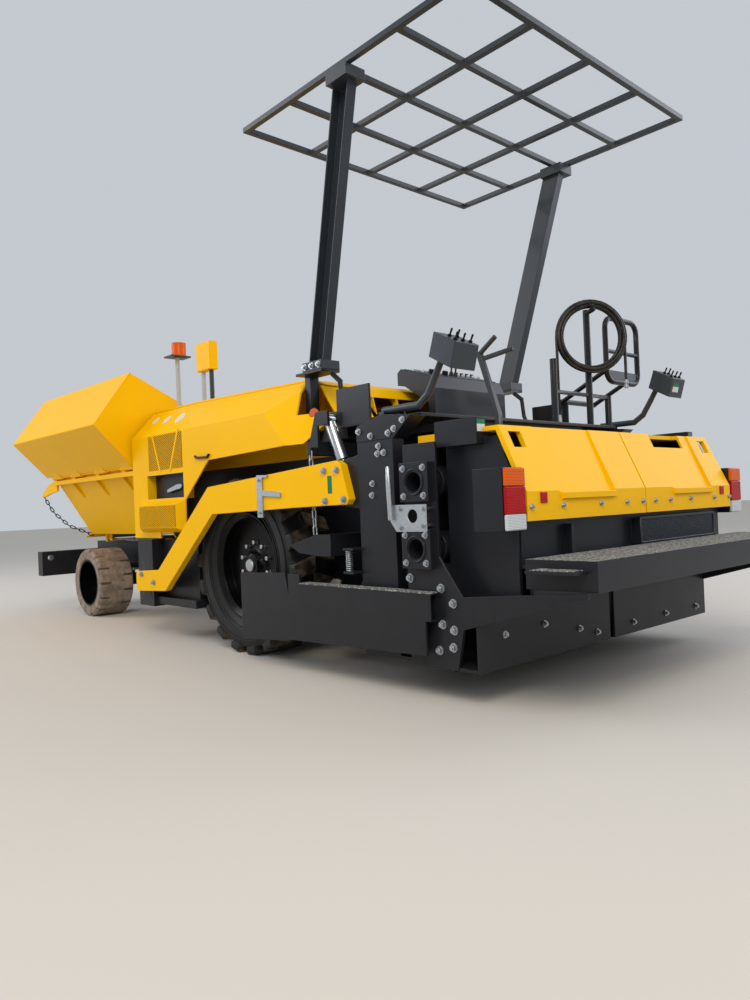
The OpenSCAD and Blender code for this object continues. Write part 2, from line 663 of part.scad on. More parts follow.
// CONVEYOR
module conveyor() {
    ends = [-1370, 2330];
    mid = 20;
    chain_w = 18;
    slat_count = floor((ends[1] - ends[0]) / slat_pitch);
    color(steel) union() {
        for (s = [left, right], x = [mid, conveyor_x - chain_w]) handed(s) {
            along_x(x, x + chain_w) difference() {
                union() {
                    translate([ends[0], conveyor_z - conveyor_r]) square([ends[1] - ends[0], 2 * conveyor_r]);
                    for (y = ends) translate([y, conveyor_z]) circle(r = conveyor_r, $fn = 24);
                }
                translate([ends[0], conveyor_z - conveyor_r + chain_t])
                    square([ends[1] - ends[0], 2 * (conveyor_r - chain_t)]);
            }
        }
        for (s = [left, right], i = [0 : slat_count], z = [conveyor_z - conveyor_r + 3, conveyor_z + conveyor_r - 17])
            handed(s) block([mid + 2, conveyor_x - 2], [ends[0] + i * slat_pitch, ends[0] + i * slat_pitch + 14],
                            [z, z + 14]);
        for (y = ends) rod_x([-tunnel_x + seat, tunnel_x - seat], y, conveyor_z, 26);
        block([-tunnel_x + seat, tunnel_x - seat], [ends[0] + 60, ends[1] - 60],
              [conveyor_z + conveyor_r - chain_t - 14, conveyor_z + conveyor_r - chain_t - seat]);
    }
}

// PUSH BEAM AND ROLLERS
roller_r = 75;
roller_y = front_reach - roller_r;
roller_z = 445;
roller_x = [230, 730];
module push_beam() {
    color(charcoal) difference() {
        union() {
            block([-900, 900], [front_reach - 280 + seat, front_reach - 165], [330, 560]);
            for (s = [left, right]) handed(s) {
                for (x = [roller_x[0] - 20, roller_x[1] + 6])
                    block([x, x + 14], [front_reach - 170, roller_y + 35], [roller_z - 40, roller_z + 40]);
                rod_x([roller_x[0] - 12, roller_x[1] + 12], roller_y, roller_z, 20);
            }
        }
        for (s = [left, right]) handed(s)
            rod_y(820, [front_reach - 290, front_reach - 160], 500, 28);
    }
}
module push_roller(side) {
    color(steel) handed(side) difference() {
        rod_x(roller_x, roller_y, roller_z, roller_r);
        rod_x([roller_x[0] - cut, roller_x[1] + cut], roller_y, roller_z, 20 + fit);
    }
}

// AUGERS
module auger(side) {
    x0 = drive_box_x + 4;
    x1 = 900;
    shaft_r = 38;
    steps = 20;
    turns = (x1 - x0 - 20) / auger_pitch;
    n = round(turns * steps);
    flight_t = 12;
    ring = function(i) let(a = i * 360 / steps, x = x0 + 6 + i * auger_pitch / steps) [
        [x, shaft_r * 0.7 * cos(a), shaft_r * 0.7 * sin(a)], [x, auger_r * cos(a), auger_r * sin(a)],
        [x + flight_t, auger_r * cos(a), auger_r * sin(a)],
        [x + flight_t, shaft_r * 0.7 * cos(a), shaft_r * 0.7 * sin(a)]];
    points = [for (i = [0 : n], p = ring(i)) p];
    sides = [for (i = [0 : n - 1], k = [0 : 3], half = [0, 1]) let(a = 4 * i + k, b = 4 * i + (k + 1) % 4)
        half == 0 ? [a, b, b + 4] : [a, b + 4, a + 4]];
    ends = [[3, 2, 1], [3, 1, 0], [4 * n, 4 * n + 1, 4 * n + 2], [4 * n, 4 * n + 2, 4 * n + 3]];
    color(steel) handed(side) difference() {
        translate([0, auger_y, auger_z]) union() {
            rotate([0, 90, 0]) translate([0, 0, x0]) cylinder(h = x1 - x0, r = shaft_r, $fn = 32);
            polyhedron(points, concat(ends, sides), convexity = 8);
        }
        rod_x([x0 - cut, x0 + 75], auger_y, auger_z, auger_pin_r + fit);
    }
}

// DECK, CONSOLE, SEAT, ROOF
coil_post = [640, -2130, 1990];
coil_peg_r = 14;
coil_r = 200;
coil_tube_r = 30;
coil_turn = 35;
coil_out = [-sin(coil_turn), -cos(coil_turn), 0];
post_foot = [840, -1360, 1650];
post_head = [roof_half_w - 60, -1770, roof_z - roof_tube / 2];
module operator_deck() {
    foot_x = frame_half_w - 5 - seat;
    column_y = [-1260, -1210];
    // Black stay behind each roof post: (Y, Z) corners
    stay = [[-1436, 1606], [-1497, 1558], [-1511, 1440], [-1572, deck_z - 4]];
    stay_x = 812;
    stay_r = 14;
    color(charcoal) union() {
        block([-deck_half_w, deck_half_w], [deck_rear_y, -1560], [deck_z - 18, deck_z]);
        block([-550, 200], [deck_rear_y + 80, -1620], [deck_z - 1, deck_z + 3]);
        block([-foot_x, foot_x], [deck_rear_y + 40, frame_rear_y + 100], [deck_z - 60, deck_z - 17]);
        block([-foot_x, foot_x], [frame_rear_y, frame_rear_y + 100], [frame_top_z + seat, deck_z - 17]);
        for (s = [left, right]) handed(s) {
            block([deck_half_w - 12, deck_half_w], [-1800, -1540], [deck_z - 5, 1500]);
            block([post_foot[0] - 70, post_foot[0] - 10], [-1565, column_y[1]], [1240, 1300]);
            block([post_foot[0] - 70, post_foot[0] - 10], column_y, [1290, post_foot[2] - 30]);
            block([post_foot[0] - 75, post_foot[0] + 55], [post_foot[1] - 85, column_y[1]],
                  [post_foot[2] - 34, post_foot[2] - 20]);
            bent_bar(stay_x, stay, stay_r);
            block([frame_half_w - 30, post_foot[0] - 20], [-1565, -1500], [1240, 1300]);
        }
        // name, x, y, top
        for (p = [[270, -2130, 1678], [640, -2130, 2010], [850, -2130, 1500]])
            rod_z(p[0], p[1], [deck_z - 5, p[2]], 20);
        block([255, 865], [-2140, -2120], [1480, 1500]);
        bar(coil_post, coil_post + coil_out * 110, coil_peg_r);
    }
}
// A quarter bend of round tube lying in an X-Z plane.
module elbow(x, y, z, start, bend, r) {
    translate([x, y, z]) rotate([90, 0, 0]) rotate([0, 0, start])
        rotate_extrude(angle = 90, $fn = 24) translate([bend, 0]) circle(r = r, $fn = 16);
}
module operator_seat() {
    x = [815, 1195];
    y = -2150;
    rail = [-1820, 1500];
    z = [1590, 1990];
    r = 17;
    bend = 70;
    color("#202224") union() {
        for (e = [[x[1] - bend, z[1] - bend, 0], [x[0] + bend, z[1] - bend, 90],
                  [x[0] + bend, z[0] + bend, 180], [x[1] - bend, z[0] + bend, 270]])
            elbow(e[0], y, e[1], e[2], bend, r);
        for (e = x) {
            rod_z(e, y, [z[0] + bend - 1, z[1] - bend + 1], r);
            bar([e, y, z[0] + bend], [e, rail[0], rail[1]], r - 2);
        }
        for (h = z) rod_x([x[0] + bend - 1, x[1] - bend + 1], y, h, r);
        rod_x([x[0], x[1]], y, 1780, r - 4);
        block([x[0] + 14, x[1] - 14], [y - 5, y + 5], [z[0] + 5, 1660]);
        rod_x([x[0] - 8, x[1] + 8], rail[0], rail[1], r);
        rod_z(850, rail[0], [deck_z + seat, rail[1]], 18);
    }
}
module console() {
    color(charcoal) along_x(-150, 520) polygon([
        [-1580, deck_z + seat], [-1530, deck_z + seat], [-1530, 1470], [-1330, 1600], [-1270, 1612],
        [-1270, 1690], [-1300, 1712], [-1540, 1640], [-1580, 1560]]);
}
module roof_posts() {
    lean_y = atan2(post_foot[1] - post_head[1], post_head[2] - post_foot[2]);
    lean_x = atan2(post_head[0] - post_foot[0], post_head[2] - post_foot[2]);
    len = norm(post_head - post_foot);
    color("#2c3138") for (s = [left, right]) handed(s) {
        translate(post_foot) rotate([lean_y, lean_x, 0]) linear_extrude(len - 25) difference() {
            translate([-30, -60]) square([60, 120]);
            translate([-22, -52]) square([60, 104]);
        }
        translate([post_foot[0] - 75, post_foot[1] - 85, post_foot[2] - 20 + seat]) cube([130, 170, 50]);
        translate([post_head[0] - 60, post_head[1] - 80, post_head[2] - 60]) cube([130, 160, 60 - seat]);
    }
}
module roof_frame() {
    half = roof_tube / 2;
    rear = post_head[1] - roof_len / 2;
    color("#2c3138") union() {
        for (i = [0 : roof_cells]) {
            x = -roof_half_w + i * (2 * roof_half_w - roof_tube) / roof_cells;
            block([x, x + roof_tube], [rear, rear + roof_len], [roof_z - half, roof_z + half]);
            y = rear + i * (roof_len - roof_tube) / roof_cells;
            block([-roof_half_w, roof_half_w], [y, y + roof_tube], [roof_z - half, roof_z + half]);
        }
    }
}
module warning_lamps() {
    post = [800, 450];
    color("#d97a1c") handed(left) {
        rod_z(720, post[1], [cover_top_z + cover_sheet + 2 * seat, 2020], 16);
        block([640, 800], [post[1] - 60, post[1] + 60], [2019, 2030]);
        rod_z(700, post[1] + 10, [2029, 2130], 52);
    }
}
module hose_coil() {
    color("#17181a") translate(coil_post + coil_out * 60 + [0, 0, coil_peg_r + seat + coil_tube_r - coil_r])
        rotate([90, 0, -coil_turn])
            rotate_extrude($fn = 48) translate([coil_r, 0]) circle(r = coil_tube_r, $fn = 16);
}

// TOW ARMS AND SCREED
module tow_arms() {
    color(yellow) for (s = [left, right]) handed(s) difference() {
        along_x(arm_x, arm_x + arm_t) polygon([
            [600, 455], [590, 470], [260, 490], [-440, 1030], [-1700, 1110], [-1735, 1090], [-1790, 910],
            [-1770, 885], [-1340, 880], [-480, 860], [170, 350], [580, 330], [600, 345]]);
        rod_x([arm_x - cut, arm_x + arm_t - 10], tow_pin_y, tow_pin_z, tow_pin_r + fit);
    }
    // T bracket bolted to the outer face
    color(grey) for (s = [left, right]) handed(s)
        along_x(arm_x + arm_t, arm_x + arm_t + 12) polygon([
            [-1000, 1074], [-1103, 1069], [-1103, 1058], [-1054, 1058], [-1054, 985],
            [-1223, 968], [-1223, 940], [-1054, 952], [-1054, 832], [-1000, 832]]);
}
hood_hinge_y = -2788;
hood_pin_r = 6;
hood_knuckle_r = 12;
hood_face_y = -2812;
hood_skin = 6;
hood_thick = 22;
hood_shoulder = [-2680, hood_top_z];
hood_edge_z = 907;
hood_foot_z = hood_hinge_z - 20;
// Each hood hinge knuckle: start along X, length
hood_knuckles = [[60, 90], [430, 90], [800, 90]];
module guide_bushings() {
    for (z = [guide_z_low, guide_z_high]) {
        rod_x([790, 965], guide_y, z, guide_r + 15);
        block([790, 965], [guide_y, screed_rear_y + 5], [z - guide_r - 15, z + guide_r + 15]);
    }
}
clamp_top_z = 1309;
module screed_frame() {
    front = screed_front_y;
    wall = 15;
    vent = [[-43, 781], [631, 765]];
    color(charcoal) difference() {
        union() {
            // Frame of the vent in the rear face
            difference() {
                block(vent[0], [-2800, -2788], vent[1]);
                block(vent[0] + [18, -18], [-2801, -2787], vent[1] + [14, -14]);
            }
            for (x = [vent[0][0], vent[0][1] - 18]) block([x, x + 18], [-2795, -2740], vent[1] + [4, -4]);
            block([-screed_half_w, screed_half_w], [screed_rear_y, front], [screed_z, screed_z + wall]);
            block([-930, 930], [front - wall, front], [screed_z + 10, 620]);
            block([-930, 930], [screed_rear_y, screed_rear_y + wall], [screed_z + 10, 1150]);
            block([-930, 930], [screed_rear_y, front], [605, 620]);
            block([-930, 930], [-2800, screed_rear_y + 10], [450, 465]);
            block([-930, 930], [-2800, -2785], [450, 600]);
            block([-930, 930], [-2750, -2735], [600, 830]);
            block([-930, 930], [-2800, -2740], [588, 600]);
            for (s = [left, right]) handed(s) {
                block([925, screed_half_w], [front - 250, front], [screed_z + 10, 1200]);
                along_x(900, 1005) polygon([
                    [-1834, 1267], [-1831, 1190], [-2092, 1191], [-2210, 1287], [-2012, clamp_top_z]]);
                along_x(arm_x - 40, arm_x - seat) polygon([
                    [front - 5, 860], [front - 5, 1130], [-1560, 1090], [-1480, 1040], [-1480, 950],
                    [-1560, 900]]);
                rod_x([lift_x - 30, arm_x - 35], lift_eye[0], lift_eye[1], lift_pin_r);
                guide_bushings();
                along_x(925, 945) polygon([
                    [-2365, 455], [-2365, 1150], [-2655, 1150], [-2745, 955], [-2745, 455]]);
                block([925, 932], [-2370, screed_rear_y + 5], [455, 600]);
                block([972, 1107], [-2800, -2650], [750, 1006]);
                block([940, 975], [-2750, -2690], [850, 900]);
                block([860, 1000], [-2592, -2360], [1120, 1172]);
                block([935, 1000], [-2592, -2352], [1150, 1234]);
                for (k = hood_knuckles) {
                    block([k[0] + 92, k[0] + 130], [hood_hinge_y, -2740], [hood_hinge_z - 8, hood_hinge_z + 8]);
                    rod_x([k[0] + 92, k[0] + 130], hood_hinge_y, hood_hinge_z, hood_knuckle_r);
                }
                rod_x([hood_knuckles[0][0], hood_knuckles[2][0] + 130], hood_hinge_y, hood_hinge_z, hood_pin_r);
                block([600, 620], [-2790, -2700], [450, 760]);
            }
        }
        for (s = [left, right], z = [guide_z_low, guide_z_high]) handed(s)
            rod_x([700, 1010], guide_y, z, guide_r + fit);
    }
}
module screed_cover() {
    color(yellow) union() {
        block([-930, 930], [-2590, -2180], [1172 + seat, 1190]);
        block([-930, 930], [-2345, -2180], [1150 + seat, 1174]);
    }
}
module walkway() {
    color("#6b6d6e") union() {
        block([-1000, 1000], [-rear_reach, -2825], [walkway_z - 24, walkway_z]);
        block([-1000, 1000], [-rear_reach, -rear_reach + 8], [walkway_z - 120, walkway_z]);
        for (x = [-700, -250, 250, 700])
            block([x - 6, x + 6], [-rear_reach + 5, -2800 - seat], [walkway_z - 110, walkway_z - 20]);
        handed(left) {
            block([999, 1010], [-rear_reach, -2825], [walkway_z - 120, walkway_z]);
            block([1009, 1105], [-3111, -2889], [walkway_z - 48, walkway_z - 36]);
        }
    }
}
module tail_lamps() {
    color("#a81c14") for (s = [left, right]) handed(s)
        block([974, 1105], [-2818, -2800 - seat], [752, 1004]);
}
module hood(side) {
    x = [5, hood_half_w];
    trough = [282, 730];
    inner_y = hood_face_y + hood_thick;
    color(yellow) handed(side) difference() {
        union() {
            along_x(x[0], x[1]) polygon([
                [-2600, hood_top_z], hood_shoulder, [hood_face_y, hood_edge_z], [hood_face_y, hood_foot_z],
                [hood_face_y + hood_skin, hood_foot_z], [hood_face_y + hood_skin, hood_hinge_z + 40],
                [inner_y, hood_hinge_z + 50], [inner_y, hood_edge_z - 4],
                hood_shoulder + [16, -hood_thick], [-2600, hood_top_z - hood_thick]]);
            for (k = hood_knuckles) {
                rod_x([k[0], k[0] + k[1]], hood_hinge_y, hood_hinge_z, hood_knuckle_r);
                block([k[0], k[0] + k[1]], [hood_face_y + 1, hood_hinge_y], [hood_hinge_z, hood_hinge_z + 24]);
            }
            block([trough[0] + 8, trough[1] - 15], [hood_face_y - 12, hood_face_y + 4],
                  [hood_edge_z - 36, hood_edge_z - 7]);
        }
        along_x(trough[0], trough[1]) polygon([
            hood_shoulder + [6, -6], [hood_face_y + 13, hood_edge_z - 6], [hood_face_y - 30, hood_edge_z - 6],
            [hood_face_y - 30, hood_top_z + 60], [-2640, hood_top_z + 60]]);
        for (k = hood_knuckles)
            rod_x([k[0] - cut, k[0] + k[1] + cut], hood_hinge_y, hood_hinge_z, hood_pin_r + fit);
        block([829, 914], [-2800, -2640], [1096, 1165]);
        if (side == right) block([306, 640], [-2760, -2640], [1120, 1210]);
    }
}
module control_boxes() {
    r = 18;
    arm_at = 972;
    rest_z = clamp_top_z + seat;
    // Bent arm of each box: (Y, Z) corners
    arm = [[-2002, rest_z + r], [-2235, rest_z + r], [-2297, 1368], [-2350, 1450], [-2400, 1530]];
    color("#3c3f43") for (s = [left, right]) handed(s) {
        block([arm_at - 28, arm_at + 28], [-2030, -1994], [rest_z, rest_z + 12]);
        bent_bar(arm_at, arm, r);
        along_x(890, 1050) polygon([[-2417, 1623], [-2540, 1557], [-2508, 1447], [-2381, 1518]]);
    }
    // Screed levers on the left: the plank, its foot and two grips
    color("#3c3f43") {
        along_x(-615, -585) polygon([
            [-2284, 1603], [-2310, 1597], [-2412, 1286], [-2412, 1190 + seat], [-2388, 1190 + seat],
            [-2388, 1286]]);
        bar([-600, -2296, 1585], [-600, -2400, 1655], 12);
        bar([-600, -2302, 1560], [-560, -2470, 1590], 12);
    }
}

// LIFT CYLINDERS
lift_dir = (lift_eye - lift_top) / norm(lift_eye - lift_top);
barrel_len = norm(lift_eye - lift_top) * 0.62;
module lift_barrel(side) {
    end = lift_top + lift_dir * barrel_len;
    start = lift_top + lift_dir * 25;
    color("#3c3f43") handed(side) difference() {
        union() {
            rod_x([lift_x - 22, lift_x + 22], lift_top[0], lift_top[1], 32);
            bar([lift_x, start[0], start[1]], [lift_x, end[0], end[1]], 32);
        }
        rod_x([lift_x - 60, lift_x + 60], lift_top[0], lift_top[1], lift_pin_r + fit);
        bar([lift_x, (lift_top + lift_dir * 60)[0], (lift_top + lift_dir * 60)[1]],
            [lift_x, (end + lift_dir * 5)[0], (end + lift_dir * 5)[1]], 18 + fit);
    }
}
module lift_rod(side) {
    a = lift_top + lift_dir * 100;
    b = lift_eye - lift_dir * 26;
    color("#b9bcc0") handed(side) difference() {
        union() {
            bar([lift_x, a[0], a[1]], [lift_x, b[0], b[1]], 18);
            rod_x([lift_x - 20, lift_x + 20], lift_eye[0], lift_eye[1], 32);
        }
        rod_x([lift_x - 60, lift_x + 60], lift_eye[0], lift_eye[1], lift_pin_r + 3);
    }
}

// EXTENSIONS
end_x = [1035, 1050];
gate_x = [1085, 1100];
module extension(side) {
    wall = 15;
    y = [-2600, -2250];
    color(charcoal) handed(side) difference() {
        union() {
            block([20, end_x[1] - 5], y, [screed_z, screed_z + wall]);
            block([20, end_x[1] - 5], [y[0], y[0] + wall], [screed_z + 5, 430]);
            block([20, end_x[1] - 5], [y[1] - wall, y[1]], [screed_z + 5, 430]);
            along_x(end_x[0], end_x[1]) polygon([
                [-2195, 1145], [-2200, screed_z], [-2480, screed_z], [-2520, 330],
                [-3130, 500], [-3130, 520], [-2520, 470], [-2395, 640], [-2395, 1145]]);
            for (z = [guide_z_low, guide_z_high]) {
                rod_x([60, end_x[1] + 35], guide_y, z, guide_r);
                block([end_x[1] - 5, end_x[1] + 35], [guide_y - 88, guide_y + 88], [z - 88, z + 88]);
            }
            difference() {
                block([end_x[0] + 10, gate_x[1] + 2], [-2381, -1440], [360, 480]);
                block([end_x[1] + 6, gate_x[1] - 4], [-2390, -1700], [366, 474]);
            }
            along_x(gate_x[0], gate_x[1]) polygon([
                [-1340, 180], [-1340, 530], [-1440, 530], [-1440, 401], [-2344, 401], [-2344, 208]]);
            along_x(gate_x[0], gate_x[1]) polygon([
                [-880, 140], [-880, 520], [-1310, 535], [-1345, 400], [-1345, 180], [-1310, 170]]);
        }
        for (z = [guide_z_low, guide_z_high]) {
            rod_x([50, end_x[1] + 40], guide_y, z, guide_hole_r);
            for (dy = [-1, 1], dz = [-1, 1])
                rod_x([end_x[0] - 1, end_x[1] + 40], guide_y + dy * flange_bolts / 2, z + dz * flange_bolts / 2,
                      flange_hole_r);
        }
    }
}

chassis_frame();
engine_block();
side_cover(left);  // side_cover_left
side_cover(right);  // side_cover_right
top_cover();
hopper_frame();
conveyor();
push_beam();
push_roller(left);  // push_roller_left
push_roller(right);  // push_roller_right
front_axle();
steer_rod();
knuckle(left);  // knuckle_left
knuckle(right);  // knuckle_right
front_tyre(left);  // front_tyre_left
front_tyre(right);  // front_tyre_right
front_rim(left);  // front_rim_left
front_rim(right);  // front_rim_right
rear_tyre(left);  // rear_tyre_left
rear_tyre(right);  // rear_tyre_right
rear_rim(left);  // rear_rim_left
rear_rim(right);  // rear_rim_right
wing(left);  // wing_left
wing(right);  // wing_right
auger(left);  // auger_left
auger(right);  // auger_right
operator_deck();
operator_seat();
console();
roof_posts();
roof_frame();
warning_lamps();
hose_coil();
tow_arms();
screed_frame();
screed_cover();
walkway();
tail_lamps();
hood(left);  // hood_left
hood(right);  // hood_right
control_boxes();
lift_barrel(left);  // lift_barrel_left
lift_barrel(right);  // lift_barrel_right
lift_rod(left);  // lift_rod_left
lift_rod(right);  // lift_rod_right
extension(left);  // extension_left
extension(right);  // extension_right
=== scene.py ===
import json
import math

import bmesh
import bpy
from mathutils import Matrix, Vector

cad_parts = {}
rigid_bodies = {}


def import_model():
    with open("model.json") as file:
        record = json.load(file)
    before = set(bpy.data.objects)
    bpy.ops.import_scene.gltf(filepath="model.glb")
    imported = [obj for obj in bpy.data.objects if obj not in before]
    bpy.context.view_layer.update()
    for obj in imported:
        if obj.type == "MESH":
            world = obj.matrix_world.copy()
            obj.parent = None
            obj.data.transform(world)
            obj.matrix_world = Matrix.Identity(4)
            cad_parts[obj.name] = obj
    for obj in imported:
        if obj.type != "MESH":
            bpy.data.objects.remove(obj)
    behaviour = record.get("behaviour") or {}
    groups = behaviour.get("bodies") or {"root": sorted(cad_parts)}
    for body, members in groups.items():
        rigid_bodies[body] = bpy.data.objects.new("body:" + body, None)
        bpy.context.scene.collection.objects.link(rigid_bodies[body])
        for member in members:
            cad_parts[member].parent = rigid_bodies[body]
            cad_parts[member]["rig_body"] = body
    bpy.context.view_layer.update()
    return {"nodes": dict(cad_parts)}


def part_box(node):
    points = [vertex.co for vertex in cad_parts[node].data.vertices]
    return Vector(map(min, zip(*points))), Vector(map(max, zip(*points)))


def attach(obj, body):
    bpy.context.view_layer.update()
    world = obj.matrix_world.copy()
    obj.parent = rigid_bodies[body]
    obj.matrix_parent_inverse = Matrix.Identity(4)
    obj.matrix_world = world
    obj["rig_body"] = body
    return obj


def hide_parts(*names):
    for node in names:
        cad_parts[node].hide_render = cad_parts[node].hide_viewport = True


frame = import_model()


# VIEW, FLOOR AND LIGHT
# The machine is seen from behind its left rear corner, at chest height, with the camera rolled
# two degrees. It stands on a plain pale floor under a soft overcast sky.
scene = bpy.context.scene
# Sockets of a Mix node between two colours: how much, the first and the second
mix_by, mix_from, mix_to = 0, 6, 7


def linear(code):
    """An sRGB hex colour as the linear values that a shader takes."""
    parts = [int(code[i : i + 2], 16) / 255 for i in (1, 3, 5)]
    return [c / 12.92 if c <= 0.04045 else ((c + 0.055) / 1.055) ** 2.4 for c in parts] + [1]


def add(tree, kind, links=None, **settings):
    """Adds one node with its settings; links gives each input a value or another node's output."""
    node = tree.nodes.new(kind)
    for name, value in settings.items():
        setattr(node, name, value)
    for name, source in (links or {}).items():
        if isinstance(source, bpy.types.NodeSocket):
            tree.links.new(source, node.inputs[name])
        else:
            node.inputs[name].default_value = source
    return node


def bare_finish(name):
    """A new finish, its empty tree, and the coordinates that its patterns read."""
    finish = bpy.data.materials.new(name)
    finish.use_nodes = True
    finish.node_tree.nodes.clear()
    return finish, finish.node_tree, add(finish.node_tree, "ShaderNodeTexCoord").outputs


def matt(name, one, other, patches, detail, dull):
    """A matt finish in two close tones that change in slow patches."""
    finish, tree, coordinates = bare_finish(name)
    cloud = add(tree, "ShaderNodeTexNoise", {
        "Vector": coordinates["Object"], "Scale": patches, "Detail": detail})
    tone = add(tree, "ShaderNodeMix", data_type="RGBA", links={
        mix_by: cloud.outputs["Fac"], mix_from: linear(one), mix_to: linear(other)})
    shader = add(tree, "ShaderNodeBsdfPrincipled", {"Base Color": tone.outputs[2], "Roughness": dull})
    add(tree, "ShaderNodeOutputMaterial", {"Surface": shader.outputs[0]})
    return finish


def show(name, mesh):
    """A new object in the scene, at the origin, around a finished mesh or curve."""
    piece = bpy.data.objects.new(name, mesh)
    scene.collection.objects.link(piece)
    return piece


# Where the camera stood, and the picture's right, its downward way and its depth
eye = (-3.53677, -4.70497, 0.87926)
right = Vector((0.736032, -0.675667, -0.041597))
down = Vector((-0.026670, 0.032457, -0.999117))
ahead = Vector((0.676421, 0.736492, 0.005869))
camera = show("photo_camera", bpy.data.cameras.new("photo_camera"))
camera.data.sensor_width = 36
# 774.4 pixels of focal length in a picture 1000 pixels high
camera.data.lens = 27.878
camera.data.clip_start = 0.05
camera.data.clip_end = 200
turn = Matrix((right, -down, -ahead)).transposed().to_4x4()
camera.matrix_world = Matrix.Translation(eye) @ turn
scene.camera = camera
scene.view_settings.view_transform = "Standard"

floor_half = 60
floor_mesh = bpy.data.meshes.new("floor")
floor_mesh.from_pydata([(x * floor_half, y * floor_half, 0) for x, y in ((-1, -1), (1, -1), (1, 1), (-1, 1))],
                       [], [(0, 1, 2, 3)])
floor_mesh.materials.append(matt("swept_floor", "#C9C3BA", "#CFC9C1", 0.6, 3, 0.9))
floor = show("floor", floor_mesh)

sky = bpy.data.worlds.new("overcast")
sky.use_nodes = True
sky.node_tree.nodes["Background"].inputs["Color"].default_value = linear("#D6DCE2")
sky.node_tree.nodes["Background"].inputs["Strength"].default_value = 0.82
scene.world = sky
lamp_target = Vector((0, 0, 0.9))
# Name, place, power, side of the lamp, colour
for name, place, power, side, tint in (
        ("key_lamp", (-6.5, -7.0, 7.5), 560, 5.0, "#FFF6E8"),
        ("fill_lamp", (7.5, -5.0, 5.0), 300, 6.0, "#EEF3FF"),
        ("front_lamp", (-6.0, 7.0, 5.5), 350, 6.0, "#F8F9FF")):
    lamp = show(name, bpy.data.lights.new(name, "AREA"))
    lamp.data.energy = power
    lamp.data.size = side
    lamp.data.color = linear(tint)[:3]
    aim = lamp_target - Vector(place)
    lamp.matrix_world = Matrix.Translation(place) @ aim.to_track_quat("-Z", "Y").to_matrix().to_4x4()


# WASH-DOWN HOSE
# A black rubber hose of 18 mm runs up from a fitting in the deck and lies in five and a half turns on
# the peg of its post; its free end hangs down with a zinc-plated coupling.
def rubber(name, tone, dull, dust_hex, dust):
    """Vulcanised rubber: near black, broad soft highlight, dust in a thin broken film."""
    finish, tree, coordinates = bare_finish(name)
    place = coordinates["Object"]
    # Film of dust in patches of about 60 mm
    film = add(tree, "ShaderNodeTexNoise", {"Vector": place, "Scale": 16, "Detail": 6, "Roughness": 0.65})
    amount = add(tree, "ShaderNodeMapRange", {
        "Value": film.outputs["Fac"], "From Min": 0.4, "From Max": 0.75, "To Max": dust})
    colour = add(tree, "ShaderNodeMix", data_type="RGBA", links={
        mix_by: amount.outputs[0], mix_from: linear(tone), mix_to: linear(dust_hex)})
    # Moulded skin, a grain of about 3 mm, drawn coarser than the real one
    grain = add(tree, "ShaderNodeTexNoise", {"Vector": place, "Scale": 330, "Detail": 2})
    skin = add(tree, "ShaderNodeBump", {
        "Height": grain.outputs["Fac"], "Strength": 0.15, "Distance": 0.001})
    shader = add(tree, "ShaderNodeBsdfPrincipled", {
        "Base Color": colour.outputs[2], "Roughness": dull, "Specular IOR Level": 0.35,
        "Normal": skin.outputs[0]})
    add(tree, "ShaderNodeOutputMaterial", {"Surface": shader.outputs[0]})
    return finish


def belong(piece, body):
    """The piece rides on a body of the machine."""
    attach(piece, body)
    return piece


def turned(name, profile, foot, axis, finish, body, segments=24):
    """A turned piece: a profile of (radius, height) pairs spun about an axis from its foot."""
    mesh = bpy.data.meshes.new(name)
    lean = Vector((0, 0, 1)).rotation_difference(Vector(axis)).to_matrix()
    verts = []
    faces = []
    for radius, height in profile:
        for k in range(segments):
            a = 2 * math.pi * k / segments
            verts.append(Vector(foot) + lean @ Vector((radius * math.cos(a), radius * math.sin(a), height)))
    for row in range(len(profile) - 1):
        for k in range(segments):
            a = row * segments + k
            b = row * segments + (k + 1) % segments
            faces.append((a, b, b + segments, a + segments))
    faces.append(tuple(reversed(range(segments))))
    faces.append(tuple(range((len(profile) - 1) * segments, len(profile) * segments)))
    mesh.from_pydata(verts, [], faces)
    mesh.shade_smooth()
    mesh.set_sharp_from_angle(angle=math.radians(35))
    mesh.materials.append(finish)
    return belong(show(name, mesh), body)


def line_of(name, points):
    """A poly line through points, in metres."""
    line = bpy.data.curves.new(name, "CURVE")
    line.dimensions = "3D"
    run = line.splines.new("POLY")
    run.points.add(len(points) - 1)
    for point, place in zip(run.points, points):
        point.co = (*place, 1)
    return line


hose_d = 0.018
fitting_top = 1.333
coil_centre = Vector((0.6056, -2.1791, 1.8343))
coil_axis = Vector((-0.5736, -0.8192, 0))
coil_side = Vector((-0.8192, 0.5736, 0))
coil_r = 0.200
hose_turns = 5.5
steps_a_turn = 40
# The turns wind round the middle of their bundle, once in six turns
bundle_r = 0.0182
turns_a_round = 6
riser_steps = 14
tail_steps = 8
tail_step = 0.033

